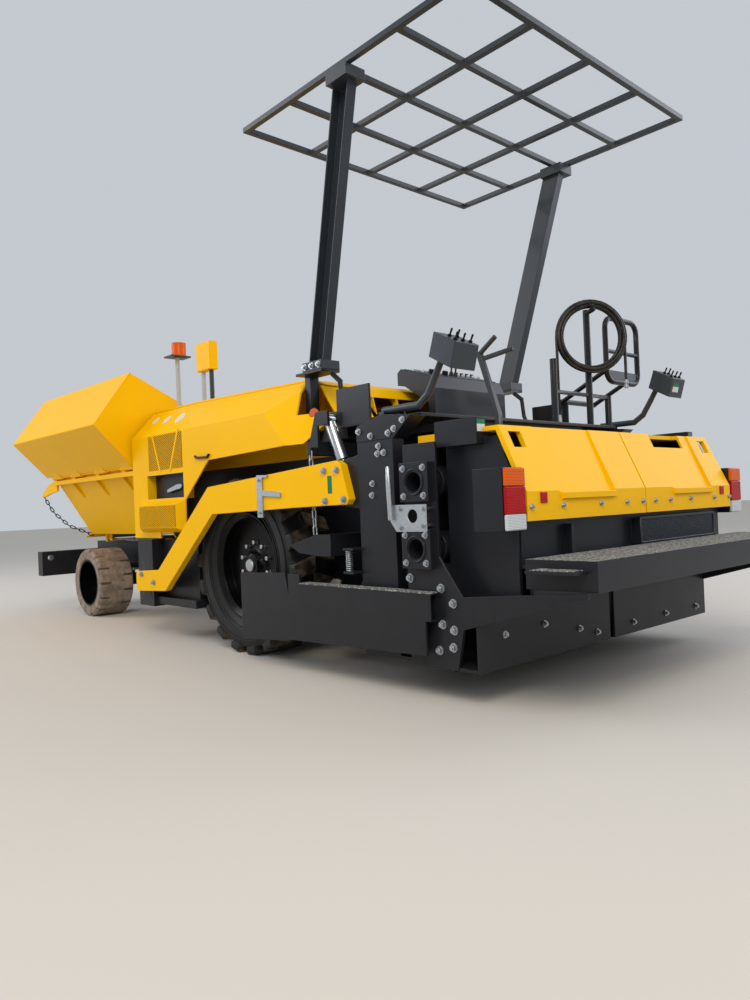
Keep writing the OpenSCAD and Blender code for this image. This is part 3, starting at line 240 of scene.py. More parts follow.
start = coil_centre + coil_side * (coil_r + bundle_r)
hose_points = [Vector((start.x, start.y, fitting_top + (start.z - fitting_top) * k / riser_steps))
               for k in range(riser_steps)]
for k in range(int(hose_turns * steps_a_turn) + 1):
    round_coil = 2 * math.pi * k / steps_a_turn
    round_bundle = round_coil / turns_a_round
    reach = coil_r + bundle_r * math.cos(round_bundle)
    hose_points.append(
        coil_centre + coil_side * (reach * math.cos(round_coil))
        + Vector((0, 0, reach * math.sin(round_coil))) + coil_axis * (bundle_r * math.sin(round_bundle)))
tail = hose_points[-1]
hose_points += [tail + Vector((0, 0, -tail_step * k)) for k in range(1, tail_steps + 1)]
hose_curve = line_of("wash_hose", hose_points)
hose_curve.bevel_depth = hose_d / 2
hose_curve.bevel_resolution = 3
hose_curve.use_fill_caps = True
hose_curve.materials.append(rubber("extruded_hose_rubber", "#131416", 0.42, "#6E675E", 0.25))
hose = belong(show("wash_hose", hose_curve), "chassis")

# Bright bluish zinc passivate: soft metallic sheen with a faint mottling
zinc, zinc_tree, zinc_coordinates = bare_finish("zinc_plated_steel")
zinc_mottle = add(zinc_tree, "ShaderNodeTexNoise", {
    "Vector": zinc_coordinates["Object"], "Scale": 90, "Detail": 3})
zinc_tone = add(zinc_tree, "ShaderNodeMix", data_type="RGBA", links={
    mix_by: zinc_mottle.outputs["Fac"], mix_from: linear("#9EA3A8"), mix_to: linear("#C9CDD0")})
zinc_dull = add(zinc_tree, "ShaderNodeMapRange", {
    "Value": zinc_mottle.outputs["Fac"], "To Min": 0.28, "To Max": 0.5})
zinc_shader = add(zinc_tree, "ShaderNodeBsdfPrincipled", {
    "Base Color": zinc_tone.outputs[2], "Metallic": 1.0, "Roughness": zinc_dull.outputs[0]})
add(zinc_tree, "ShaderNodeOutputMaterial", {"Surface": zinc_shader.outputs[0]})

coupling = turned(
    "hose_coupling",
    [(0.0095, 0), (0.0115, 0.002), (0.0115, 0.022), (0.009, 0.024), (0.009, 0.032), (0.013, 0.034),
     (0.013, 0.05), (0.011, 0.052), (0.007, 0.052)],
    hose_points[-1] + Vector((0, 0, 0.004)), (0, 0, -1), zinc, "chassis")
deck_fitting = turned(
    "hose_deck_fitting",
    [(0.02, 0), (0.02, 0.008), (0.014, 0.01), (0.014, 0.03), (0.0115, 0.04), (0.0105, 0.06)],
    (start.x, start.y, 1.309), (0, 0, 1), zinc, "chassis")
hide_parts("hose_coil")


def enamel(name, paint, shade, gloss, dust, coat, earth="#8C7B66", shine=0.28):
    """Sprayed machine enamel: even tone, fine orange peel, dust where it lies and splashes."""
    finish, tree, coordinates = bare_finish(name)
    place = coordinates["Object"]
    # Slow change of tone over about half a metre
    cloud = add(tree, "ShaderNodeTexNoise", {"Vector": place, "Scale": 2.2, "Detail": 4})
    tone = add(tree, "ShaderNodeMix", data_type="RGBA", links={
        mix_by: cloud.outputs["Fac"], mix_from: linear(paint), mix_to: linear(shade)})
    # Dust lies on what faces up, mud splashes what is low
    facing = add(tree, "ShaderNodeSeparateXYZ", {"Vector": coordinates["Normal"]})
    upward = add(tree, "ShaderNodeMapRange", {
        "Value": facing.outputs["Z"], "From Min": 0.4, "To Max": 0.55})
    height = add(tree, "ShaderNodeSeparateXYZ", {"Vector": place})
    splash = add(tree, "ShaderNodeMapRange", {
        "Value": height.outputs["Z"], "From Min": 0.9, "From Max": 0.1, "To Max": 0.8})
    reach = add(tree, "ShaderNodeMath", operation="ADD", links={0: upward.outputs[0], 1: splash.outputs[0]})
    # Broken patches of dry mud, 20 to 120 mm
    patch = add(tree, "ShaderNodeTexNoise", {
        "Vector": place, "Scale": 11, "Detail": 8, "Roughness": 0.7})
    broken = add(tree, "ShaderNodeMapRange", {
        "Value": patch.outputs["Fac"], "From Min": 0.38, "From Max": 0.72, "To Max": dust})
    film = add(tree, "ShaderNodeMath", operation="MULTIPLY", use_clamp=True, links={
        0: reach.outputs[0], 1: broken.outputs[0]})
    colour = add(tree, "ShaderNodeMix", data_type="RGBA", links={
        mix_by: film.outputs[0], mix_from: tone.outputs[2], mix_to: linear(earth)})
    dull = add(tree, "ShaderNodeMapRange", {
        "Value": film.outputs[0], "From Max": 0.6, "To Min": gloss, "To Max": 0.9})
    # Orange peel of about 3 mm, drawn at 6 mm so that it shows
    peel = add(tree, "ShaderNodeTexNoise", {"Vector": place, "Scale": 160, "Detail": 2})
    skin = add(tree, "ShaderNodeBump", {
        "Height": peel.outputs["Fac"], "Strength": 0.06, "Distance": 0.001})
    shader = add(tree, "ShaderNodeBsdfPrincipled", {
        "Base Color": colour.outputs[2], "Roughness": dull.outputs[0], "Specular IOR Level": shine,
        "Coat Weight": coat, "Coat Roughness": 0.12, "Normal": skin.outputs[0]})
    add(tree, "ShaderNodeOutputMaterial", {"Surface": shader.outputs[0]})
    return finish


def dress(node, finish, edge=0.0025, patches=(), bend=32):
    """A merged copy of a CAD node with eased edges stands for the node and rides with it.

    Each patch is a second finish with a test of a face's centre and direction; an edge that bends
    by more degrees than bend is a fold and stays crisp, a lesser one belongs to a round."""
    source = frame["nodes"][node]
    mesh = source.data.copy()
    mesh.materials.clear()
    for coat in [finish] + [patch[0] for patch in patches]:
        mesh.materials.append(coat)
    form = bmesh.new()
    form.from_mesh(mesh)
    bmesh.ops.remove_doubles(form, verts=form.verts, dist=0.00002)
    # Only long sharp edges are eased: where short ones meet, the ease would fold over itself
    weight = form.edges.layers.float.new("bevel_weight_edge")
    crowded = {v for e in form.edges if e.calc_length() < 4 * edge for v in e.verts}
    for e in form.edges:
        if e.is_manifold and e.calc_face_angle() > math.radians(bend) and not crowded.intersection(e.verts):
            e[weight] = 1
    for face in form.faces:
        place = face.calc_center_median()
        for k, (coat, test) in enumerate(patches):
            if test(place, face.normal):
                face.material_index = k + 1
    form.to_mesh(mesh)
    form.free()
    mesh.shade_smooth()
    mesh.set_sharp_from_angle(angle=math.radians(bend))
    piece = show(node + "_finished", mesh)
    eased = piece.modifiers.new("eased edges", "BEVEL")
    eased.width = edge
    eased.segments = 2
    eased.limit_method = "WEIGHT"
    eased.use_clamp_overlap = False
    # Light follows the broad flat faces, not the small triangles between them
    level = piece.modifiers.new("flat faces", "WEIGHTED_NORMAL")
    level.keep_sharp = True
    level.weight = 100
    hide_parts(node)
    return belong(piece, source["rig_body"])


charcoal_enamel = enamel("charcoal_enamel", "#1F2127", "#18191E", 0.38, 0.16, 0.08, "#4A4640", 0.24)
for node in ("chassis_frame", "push_beam", "front_axle", "knuckle_left", "knuckle_right"):
    dress(node, charcoal_enamel, bend=16)
dress("engine_block", enamel("painted_cast_iron", "#4B4E51", "#3C3F42", 0.6, 0.6, 0), 0.006)


# COVERS OF THE ENGINE BAY
# Pressed sheet in glossy yellow enamel, folded along a shoulder line, with a black pan in the recess
# of each side. On the top cover a grey and a slate post hold a box with a flat lid over its side.
both_sides = (("left", -1), ("right", 1))
yellow_enamel = enamel("yellow_enamel", "#FAC000", "#F5B800", 0.38, 0.10, 0.02, "#A87F38", 0.07)
slate_enamel = enamel("slate_enamel", "#333A43", "#2C333B", 0.4, 0.15, 0.2, "#5A5650")
post_grey = enamel("light_grey_enamel", "#B4B8BB", "#A8ACB0", 0.35, 0.1, 0)


def within(x, y, z):
    """A test that a face's centre lies between the limits given for x, y and z."""
    def test(place, facing):
        return all(low < value < high for value, (low, high) in zip(place, (x, y, z)))
    return test


def plate(name, corners, thick, push, finish, body, ease=0.0008, hole=()):
    """A flat plate: an outline, and a hole in it if given, pushed out by its thickness, edges eased."""
    form = bmesh.new()
    for loop in (corners, hole):
        foot = [form.verts.new(Vector(c)) for c in loop]
        for k in range(len(foot)):
            form.edges.new((foot[k - 1], foot[k]))
    bmesh.ops.triangle_fill(form, edges=list(form.edges), use_beauty=True)
    lifted = bmesh.ops.extrude_face_region(form, geom=list(form.faces))
    raised = [v for v in lifted["geom"] if isinstance(v, bmesh.types.BMVert)]
    bmesh.ops.translate(form, vec=Vector(push).normalized() * thick, verts=raised)
    bmesh.ops.recalc_face_normals(form, faces=form.faces)
    bmesh.ops.dissolve_limit(form, angle_limit=0.02, verts=form.verts, edges=form.edges)
    if ease:
        sharp = [e for e in form.edges if e.is_manifold and e.calc_face_angle() > 0.6]
        bmesh.ops.bevel(form, geom=sharp, offset=ease, segments=1, affect="EDGES")
    mesh = bpy.data.meshes.new(name)
    form.to_mesh(mesh)
    form.free()
    mesh.materials.append(finish)
    return belong(show(name, mesh), body)


def rectangle(low, high):
    """The corners of a rectangle square to one axis, from two opposite ones."""
    (x0, y0, z0), (x1, y1, z1) = low, high
    if z0 == z1:
        return [low, (x1, y0, z0), high, (x0, y1, z0)]
    return [low, (x1, y1, z0), high, (x0, y0, z1)]


for side, s in both_sides:
    pan = within(sorted((s * 0.870, s * 0.939)), (0.014, 0.541), (0.984, 1.150))
    dress("side_cover_" + side, yellow_enamel, 0.0025, [(charcoal_enamel, pan)], 12)
dress("top_cover", yellow_enamel, 0.0025, [
    (slate_enamel, within((-0.678, -0.642), (0.05, 0.12), (1.655, 1.879))),
    (post_grey, within((-0.678, -0.642), (0.12, 0.22), (1.655, 1.879)))], 12)
plate("post_box_lid", rectangle((-0.6903, 0.044, 1.884), (-0.6903, 0.226, 2.076)), 0.0025, (-1, 0, 0),
      yellow_enamel, "chassis", 0.001)


# VENTS, HANDLES AND CATCHES
# Expanded metal closes two vents on each side, over a nearly black sheet, painted shade for the dark
# inside of the vent: crossed strands on a grid, each cross reaching half a pitch each way. A bow
# handle and a zinc catch are screwed to the cover.
def tree_of(name, sizes):
    """A geometry tree with a start shape, named sizes and a finish as inputs, and its input sockets."""
    tree = bpy.data.node_groups.new(name, "GeometryNodeTree")
    kinds = {float: "Float", int: "Int", tuple: "Vector"}
    tree.interface.new_socket("Geometry", in_out="INPUT", socket_type="NodeSocketGeometry")
    for label, value in sizes.items():
        kind = "NodeSocket" + kinds[type(value)]
        tree.interface.new_socket(label, in_out="INPUT", socket_type=kind).default_value = value
    tree.interface.new_socket("Finish", in_out="INPUT", socket_type="NodeSocketMaterial")
    tree.interface.new_socket("Geometry", in_out="OUTPUT", socket_type="NodeSocketGeometry")
    return tree, tree.nodes.new("NodeGroupInput").outputs


def end_tree(tree, inputs, made):
    """Makes the instances real, gives them their finish and hands the geometry out."""
    real = add(tree, "GeometryNodeRealizeInstances", {"Geometry": made.outputs[0]})
    coated = add(tree, "GeometryNodeSetMaterial", {
        "Geometry": real.outputs[0], "Material": inputs["Finish"]})
    add(tree, "NodeGroupOutput", {"Geometry": coated.outputs[0]})


def grow(name, start, tree, values, body):
    """Runs a geometry tree on a start mesh or curve and keeps the result as a plain mesh."""
    piece = show(name, start)
    maker = piece.modifiers.new("grow", "NODES")
    maker.node_group = tree
    for item in tree.interface.items_tree:
        if item.item_type == "SOCKET" and item.in_out == "INPUT" and item.name in values:
            maker[item.identifier] = values[item.name]
    bpy.context.view_layer.update()
    grown = bpy.data.meshes.new_from_object(piece.evaluated_get(bpy.context.evaluated_depsgraph_get()))
    bpy.data.objects.remove(piece)
    grown.name = name
    return belong(show(name, grown), body)


metal_tree, metal_in = tree_of("expanded_metal", {
    "Wide": 0.4, "High": 0.2, "Columns": 20, "Rows": 16, "Strand": 0.003, "Lean": 0.6, "Reach": 0.02,
    "Centre": (0, 0, 0), "Turn": (0, 0, 0)})
metal_grid = add(metal_tree, "GeometryNodeMeshGrid", {
    "Size X": metal_in["Wide"], "Size Y": metal_in["High"],
    "Vertices X": metal_in["Columns"], "Vertices Y": metal_in["Rows"]})
strand_size = add(metal_tree, "ShaderNodeCombineXYZ", {
    "X": metal_in["Reach"], "Y": metal_in["Strand"], "Z": metal_in["Strand"]})
strand = add(metal_tree, "GeometryNodeMeshCube", {"Size": strand_size.outputs[0]})
both_ways = add(metal_tree, "GeometryNodeJoinGeometry")
for way in (1, -1):
    lean = add(metal_tree, "ShaderNodeMath", operation="MULTIPLY", links={0: metal_in["Lean"], 1: way})
    turn = add(metal_tree, "ShaderNodeCombineXYZ", {"Z": lean.outputs[0]})
    leaned = add(metal_tree, "GeometryNodeTransform", {
        "Geometry": strand.outputs["Mesh"], "Rotation": turn.outputs[0]})
    metal_tree.links.new(leaned.outputs[0], both_ways.inputs[0])
crosses = add(metal_tree, "GeometryNodeInstanceOnPoints", {
    "Points": metal_grid.outputs["Mesh"], "Instance": both_ways.outputs[0]})
one_sheet = add(metal_tree, "GeometryNodeRealizeInstances", {"Geometry": crosses.outputs[0]})
upright = add(metal_tree, "GeometryNodeTransform", {
    "Geometry": one_sheet.outputs[0], "Translation": metal_in["Centre"], "Rotation": metal_in["Turn"]})
end_tree(metal_tree, metal_in, upright)

# Painted shade behind the strands: a nearly black sheet for the dark inside of the vent, its patches painted
# as the dark shapes of the cooler in that shade
vent_shade_black = matt("painted_vent_shade", "#14161A", "#23262B", 9, 2, 0.85)
# Height of a row over the width of a column, and what joins a strand to the next
row_share = 0.55
strand_wire, strand_overlap = 0.0032, 0.002
for side, s in both_sides:
    # Limits along Y and Z, the face that the painted shade sheet lies on, and the pitch of the columns
    for place, (y0, y1), (z0, z1), x, pitch in (("upper", (0.019, 0.504), (1.187, 1.431), 0.9502, 0.030),
                                                ("lower", (0.046, 0.577), (0.783, 0.932), 1.0022, 0.025)):
        plate(f"{place}_screen_{side}", rectangle((s * x, y0, z0), (s * x, y1, z1)), 0.0012, (s, 0, 0),
              vent_shade_black, "chassis", 0)
        columns = round((y1 - y0) / pitch)
        rows = round((z1 - z0) / (pitch * row_share))
        across, up = (y1 - y0) / columns, (z1 - z0) / rows
        grow(f"{place}_strands_{side}", bpy.data.meshes.new("start"), metal_tree, {
            "Wide": y1 - y0 - across, "High": z1 - z0 - up, "Columns": columns, "Rows": rows,
            "Strand": strand_wire, "Lean": math.atan2(up, across),
            "Reach": math.hypot(across, up) + strand_overlap,
            "Centre": (s * (x + 0.003), (y0 + y1) / 2, (z0 + z1) / 2),
            "Turn": (math.pi / 2, 0, math.pi / 2), "Finish": yellow_enamel}, "chassis")
    plate(f"cover_handle_{side}", [(s * 0.951, y, z) for y, z in (
        (-0.165, 1.252), (-0.165, 1.240), (-0.190, 1.226), (-0.320, 1.222), (-0.345, 1.238),
        (-0.345, 1.250), (-0.318, 1.236), (-0.192, 1.240))],
        0.016, (s, 0, 0), charcoal_enamel, "chassis", 0.002)
    plate(f"pan_catch_{side}", [(s * 0.885, y, z) for y, z in (
        (0.335, 1.046), (0.200, 1.078), (0.140, 1.082), (0.120, 1.066), (0.140, 1.044), (0.200, 1.038),
        (0.330, 1.020))], 0.022, (s, 0, 0), zinc, "chassis", 0.004)


# PLUGS AND BLANK FILMS
# A moulded amber plug closes the hole in each slanted facet of the covers, and three round films of
# white vinyl, left blank, are stuck on each slope above the vents.
plug_amber = rubber("plug_amber", "#C4571A", 0.5, "#A8683A", 0.3)
film_white = enamel("label_film_white", "#D8DAD8", "#CFD2D0", 0.35, 0.15, 0)
slope_along = Vector((0, 1, 0))
film_lift = 0.0004
for side, s in both_sides:
    facet_out = Vector((s * 0.936, -0.253, 0.245)).normalized()
    turned("facet_plug_" + side, [(0.0275, 0), (0.0275, 0.016), (0.024, 0.019), (0.010, 0.020)],
           Vector((s * 0.865, -1.313, 1.406)) - facet_out * 0.022, facet_out, plug_amber,
           "chassis")
    slope_out = Vector((s * 0.725, 0, 0.689))
    slope_up = slope_out.cross(slope_along)
    for k, (x, y, z, radius) in enumerate((
            (0.830, 0.607, 1.566, 0.036), (0.844, 0.411, 1.552, 0.040), (0.852, 0.205, 1.543, 0.048))):
        middle = Vector((s * x, y, z)) + slope_out * film_lift
        rim = [middle + slope_along * (radius * math.cos(a)) + slope_up * (radius * math.sin(a))
               for a in (n * math.pi / 16 for n in range(32))]
        plate(f"round_label_{side}_{k}", rim, 0.0006, slope_out, film_white, "chassis", 0)


# BOLTS OF THE WHOLE MACHINE
# Zinc-plated hexagon bolts on their washers, in rows as they are screwed in: on the tow arms, the
# column plates, the guide flanges, the end plates, the hoods and the feet of the roof posts.
bolt_tree, bolt_in = tree_of("bolt_row", {"Across flats": 0.021, "Head height": 0.010, "Washer": 0.003})
# Radii over the width across flats: a hexagon's corner, and the washer's edge
corner_share, washer_share = 0.577, 0.78
corner_r = add(bolt_tree, "ShaderNodeMath", operation="MULTIPLY", links={
    0: bolt_in["Across flats"], 1: corner_share})
washer_r = add(bolt_tree, "ShaderNodeMath", operation="MULTIPLY", links={
    0: bolt_in["Across flats"], 1: washer_share})
head_low = add(bolt_tree, "ShaderNodeMath", operation="MULTIPLY_ADD", links={
    0: bolt_in["Head height"], 1: 0.5, 2: bolt_in["Washer"]})
washer_half = add(bolt_tree, "ShaderNodeMath", operation="MULTIPLY", links={0: bolt_in["Washer"], 1: 0.5})
head_rise = add(bolt_tree, "ShaderNodeCombineXYZ", {"Z": head_low.outputs[0]})
washer_rise = add(bolt_tree, "ShaderNodeCombineXYZ", {"Z": washer_half.outputs[0]})
one_bolt = add(bolt_tree, "GeometryNodeJoinGeometry")
# Corners, radius, length and lift of the head, the shank and the washer
for corners, radius, length, lift in (
        (6, corner_r.outputs[0], bolt_in["Head height"], head_rise.outputs[0]),
        (12, 0.0062, 0.03, (0, 0, 0.003)),
        (20, washer_r.outputs[0], bolt_in["Washer"], washer_rise.outputs[0])):
    round_bar = add(bolt_tree, "GeometryNodeMeshCylinder", {
        "Vertices": corners, "Radius": radius, "Depth": length})
    lifted = add(bolt_tree, "GeometryNodeTransform", {
        "Geometry": round_bar.outputs["Mesh"], "Translation": lift})
    bolt_tree.links.new(lifted.outputs[0], one_bolt.inputs[0])
bolt_axis = add(bolt_tree, "GeometryNodeInputNamedAttribute", {"Name": "axis"}, data_type="FLOAT_VECTOR")
bolt_size = add(bolt_tree, "GeometryNodeInputNamedAttribute", {"Name": "size"}, data_type="FLOAT")
bolt_aim = add(bolt_tree, "FunctionNodeAlignRotationToVector", axis="Z", links={
    "Vector": bolt_axis.outputs[0]})
bolts_placed = add(bolt_tree, "GeometryNodeInstanceOnPoints", {
    "Points": bolt_in["Geometry"], "Instance": one_bolt.outputs[0],
    "Rotation": bolt_aim.outputs[0], "Scale": bolt_size.outputs[0]})
end_tree(bolt_tree, bolt_in, bolts_placed)

# Places along Y and Z of the bolts that stand on both sides of the machine
arm_bolts = [(-1.602, 1.062), (-1.704, 1.060), (-1.605, 0.907), (-1.752, 0.911), (0.507, 0.452),
             (0.330, 0.402)]
column_bolts = [(-1.985, 1.159), (-1.976, 1.123), (-2.019, 1.126), (-1.932, 0.981), (-1.926, 0.925)]
clamp_bolts = [(-1.850, 1.240), (-1.936, 1.212), (-2.060, 1.215), (-2.158, 1.268), (-2.100, 1.232)]
arm_stop_bolts = [(-1.027, 1.045), (-1.027, 0.860)]
flange_bolts = [(y, z) for z in (1.034, 0.910, 0.736, 0.612) for y in (-2.352, -2.228)]
end_bolts = [(-2.215, 0.540), (-2.402, 0.502), (-2.469, 0.440), (-2.404, 0.345), (-2.470, 0.325),
             (-2.462, 0.250), (-2.380, 0.230)]
bracket_bolts = [(-2.205, 0.855), (-2.350, 0.852), (-2.207, 0.770), (-2.345, 0.778)]
foot_bolts = [(-1.300, 1.655), (-1.360, 1.655), (-1.420, 1.655)]
# Those in the rear faces, along X, which differ from side to side
hood_bolts = {"left": (0.934, 0.708, 0.408, 0.180, 0.030), "right": (0.092, 0.246, 0.473, 0.756, 0.945)}
low_bolts = {"left": ((0.874, 0.295), (0.582, 0.302), (0.299, 0.242), (0.143, 0.203)),
             "right": ((0.208, 0.206), (0.560, 0.208), (0.926, 0.204))}
rearward = (0, -1, 0)
bolt_rows = {}
for side, s in both_sides:
    extension = "extension_" + side
    # Body, face that the washers lie on, size against an M14 bolt, places
    for body, x, size, places in (
            ("screed", 1.035, 1.25, arm_bolts), ("screed", 1.000, 1.0, column_bolts),
            ("screed", 1.005, 1.0, clamp_bolts), ("screed", 1.047, 0.7, arm_stop_bolts),
            (extension, 1.085, 0.95, flange_bolts), (extension, 1.050, 1.25, end_bolts),
            (extension, 1.0915, 0.8, bracket_bolts), ("chassis", 0.895, 1.1, foot_bolts)):
        bolt_rows.setdefault(body, []).extend(((s * x, y, z), (s, 0, 0), size) for y, z in places)
    bolt_rows["hood_" + side] = [((s * x, -2.812, 0.843), rearward, 0.85) for x in hood_bolts[side]]
    bolt_rows[extension].extend(((s * x, -2.600, z), rearward, 1.0) for x, z in low_bolts[side])
for body, row in bolt_rows.items():
    spots = bpy.data.meshes.new("spots")
    spots.from_pydata([place for place, facing, size in row], [], [])
    spots.attributes.new("axis", "FLOAT_VECTOR", "POINT")
    spots.attributes.new("size", "FLOAT", "POINT")
    spots.attributes["axis"].data.foreach_set("vector", [c for place, facing, size in row for c in facing])
    spots.attributes["size"].data.foreach_set("value", [size for place, facing, size in row])
    grow("bolts_" + body, spots, bolt_tree, {"Finish": zinc}, body)


# HOPPER, WINGS AND CONVEYOR
# The hopper's plates and folding wings are yellow steel, with an angle, its gussets and a strip along
# each hinge line. Two slat chains, scoured bright by stone, run along the floor.
for node in ("hopper_frame", "wing_left", "wing_right"):
    dress(node, yellow_enamel, bend=12)
for side, s in both_sides:
    plate("hinge_strip_" + side, rectangle((s * 0.886, 0.812, 1.204), (s * 0.886, 2.380, 1.250)), 0.003,
          (s, 0, 0), yellow_enamel, "chassis")
    plate("hinge_angle_" + side, rectangle((s * 0.903, 0.79, 1.170), (s * 0.903, 2.39, 1.206)), 0.030,
          (s, 0, 0), yellow_enamel, "chassis", 0.002)
    for k, y in enumerate((1.02, 1.52, 2.02)):
        plate(f"hinge_gusset_{side}_{k}", [(s * x, y, z) for x, z in (
            (0.925, 1.175), (0.875, 1.172), (0.805, 1.055), (0.815, 1.045))],
            0.010, (0, 1, 0), yellow_enamel, "chassis", 0.001)


def worn_metal(name, bright, dark, rust, dull):
    """Steel scoured by stone: streaky bright metal with a thin brown bloom in the hollows."""
    finish, tree, coordinates = bare_finish(name)
    place = coordinates["Object"]
    streak = add(tree, "ShaderNodeMapping", {"Vector": place, "Scale": (1, 0.2, 1)})
    scour = add(tree, "ShaderNodeTexNoise", {"Vector": streak.outputs[0], "Scale": 60, "Detail": 5})
    metal = add(tree, "ShaderNodeMix", data_type="RGBA", links={
        mix_by: scour.outputs["Fac"], mix_from: linear(bright), mix_to: linear(dark)})
    bloom = add(tree, "ShaderNodeTexNoise", {
        "Vector": place, "Scale": 12, "Detail": 7, "Roughness": 0.7})
    brown = add(tree, "ShaderNodeMapRange", {
        "Value": bloom.outputs["Fac"], "From Min": 0.48, "From Max": 0.68, "To Max": rust})
    colour = add(tree, "ShaderNodeMix", data_type="RGBA", links={
        mix_by: brown.outputs[0], mix_from: metal.outputs[2], mix_to: linear("#6B4A33")})
    metallic = add(tree, "ShaderNodeMapRange", {"Value": brown.outputs[0], "To Min": 0.9, "To Max": 0.1})
    rough = add(tree, "ShaderNodeMapRange", {"Value": brown.outputs[0], "To Min": dull, "To Max": 0.9})
    skin = add(tree, "ShaderNodeBump", {
        "Height": scour.outputs["Fac"], "Strength": 0.2, "Distance": 0.001})
    shader = add(tree, "ShaderNodeBsdfPrincipled", {
        "Base Color": colour.outputs[2], "Metallic": metallic.outputs[0], "Roughness": rough.outputs[0],
        "Normal": skin.outputs[0]})
    add(tree, "ShaderNodeOutputMaterial", {"Surface": shader.outputs[0]})
    return finish


scoured_steel = worn_metal("scoured_steel", "#A7A6A2", "#7A7975", 0.75, 0.4)
for node, edge in (("conveyor", 0.0015), ("auger_left", 0.001), ("auger_right", 0.001),
                   ("push_roller_left", 0.0015), ("push_roller_right", 0.0015)):
    dress(node, scoured_steel, edge)
dress("steer_rod", worn_metal("bright_steel", "#B5B7B8", "#94979A", 0.15, 0.3), 0.0015)


# WHEELS
# Driven rear tyres are new black lugged rubber, with dry mud on the lugs, on dark steel rims; the
# small front ones are solid rubber, brown with dust. Wheel bolts and hub caps are zinc-plated.
tyre_rubber = rubber("new_tyre_rubber", "#0F1012", 0.55, "#4A4038", 0.12)
lug_rubber = rubber("dry_mud_on_lugs", "#241F1B", 0.8, "#85745F", 0.75)
solid_rubber = rubber("dusty_solid_rubber", "#776A5F", 0.85, "#AC9B8A", 0.95)
rim_black = enamel("rim_enamel", "#060708", "#040405", 0.3, 0.05, 0.05, "#3A3733", 0.14)
# Middles of the wheels along Y and Z
rear_hub = (-0.66, 0.537)
front_hub = (2.07, 0.295)


def hoop(name, centre, radius, wire, finish, body):
    """A moulded ring around an X axis, half sunk in the wall that it stands on."""
    mesh = bpy.data.meshes.new(name)
    rounds, corners = 96, 8
    verts = []
    for k in range(rounds):
        a = 2 * math.pi * k / rounds
        for n in range(corners):
            b = 2 * math.pi * n / corners
            reach = radius + wire * math.cos(b)
            verts.append((centre[0] + wire * math.sin(b), centre[1] + reach * math.cos(a),
                          centre[2] + reach * math.sin(a)))
    faces = [(k * corners + n, k * corners + (n + 1) % corners,
              (k + 1) % rounds * corners + (n + 1) % corners, (k + 1) % rounds * corners + n)
             for k in range(rounds) for n in range(corners)]
    mesh.from_pydata(verts, [], faces)
    form = bmesh.new()
    form.from_mesh(mesh)
    bmesh.ops.recalc_face_normals(form, faces=form.faces)
    form.to_mesh(mesh)
    form.free()
    mesh.shade_smooth()
    mesh.materials.append(finish)
    return belong(show(name, mesh), body)


def bolt_ring(hub, face, inner, outer):
    """A test for the wheel bolts: outside the rim's face, and between two radii from its hub."""
    return lambda place, facing: (
        abs(place.x) > face and inner < math.hypot(place.y - hub[0], place.z - hub[1]) < outer)


def on_lugs(place, facing):
    return math.hypot(place.y - rear_hub[0], place.z - rear_hub[1]) > 0.505 and abs(facing.x) < 0.6


for side, s in both_sides:
    wheel = "rear_wheel_" + side
    dress("rear_tyre_" + side, tyre_rubber, 0.004, [(lug_rubber, on_lugs)])
    dress("front_tyre_" + side, solid_rubber, 0.003)
    dress("rear_rim_" + side, rim_black, 0.0025, [(zinc, bolt_ring(rear_hub, 0.838, 0.112, 0.25))])
    dress("front_rim_" + side, rim_black, 0.0025, [(zinc, bolt_ring(front_hub, 0.6555, 0.080, 0.112))])
    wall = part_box("rear_tyre_" + side)[0 if s < 0 else 1].x
    # Radius of each ring on the sidewall, and how deep its middle lies
    for k, (radius, depth) in enumerate(((0.372, 0.004), (0.392, 0.004), (0.455, 0.001))):
        hoop(f"sidewall_ring_{side}_{k}", (wall - s * depth, *rear_hub), radius, 0.0035, tyre_rubber,
             wheel)
    turned("hub_cap_" + side, [(0.040, 0), (0.040, 0.010), (0.034, 0.016), (0.012, 0.018)],
           (s * 0.8815, *rear_hub), (s, 0, 0), zinc, wheel)


# OPERATOR STATION AND ROOF
# Deck, tubular guard and console in charcoal enamel; a slate-grey roof grid welded of square tube,
# carried by two posts on bolted feet.
for node in ("operator_deck", "operator_seat", "console"):
    dress(node, charcoal_enamel)
roof_slate = enamel("roof_slate_enamel", "#2F363E", "#2A3138", 0.4, 0.02, 0.15, "#5A5650", 0.24)
for node in ("roof_posts", "roof_frame"):
    dress(node, roof_slate, 0.002, bend=16)


# INSTRUMENT PANEL
# A grey sheet panel lies on the console's slope, with dials in bright rings, push buttons, switches
# and knobs pressed into it, and two travel levers with black grips.
panel_grey = enamel("panel_grey_enamel", "#4C4F53", "#44474B", 0.5, 0.2, 0)
panel_foot = Vector((0, -1.532, 1.6424))
panel_run = Vector((0, 0.9578, 0.2873))
panel_out = Vector((0, -0.2873, 0.9578))


def on_panel(x, v):
    """The point at x across the machine and v up the panel's slope."""
    return panel_foot + panel_run * v + Vector((x, 0, 0))


plate("console_panel", [on_panel(x, v) for x, v in (
    (-0.13, 0.01), (0.50, 0.01), (0.50, 0.235), (-0.13, 0.235))], 0.004, panel_out, panel_grey,
    "chassis", 0.001)
sunk = panel_out * 0.003
button_row = (0.20, 0.25, 0.30, 0.35, 0.40, 0.45)
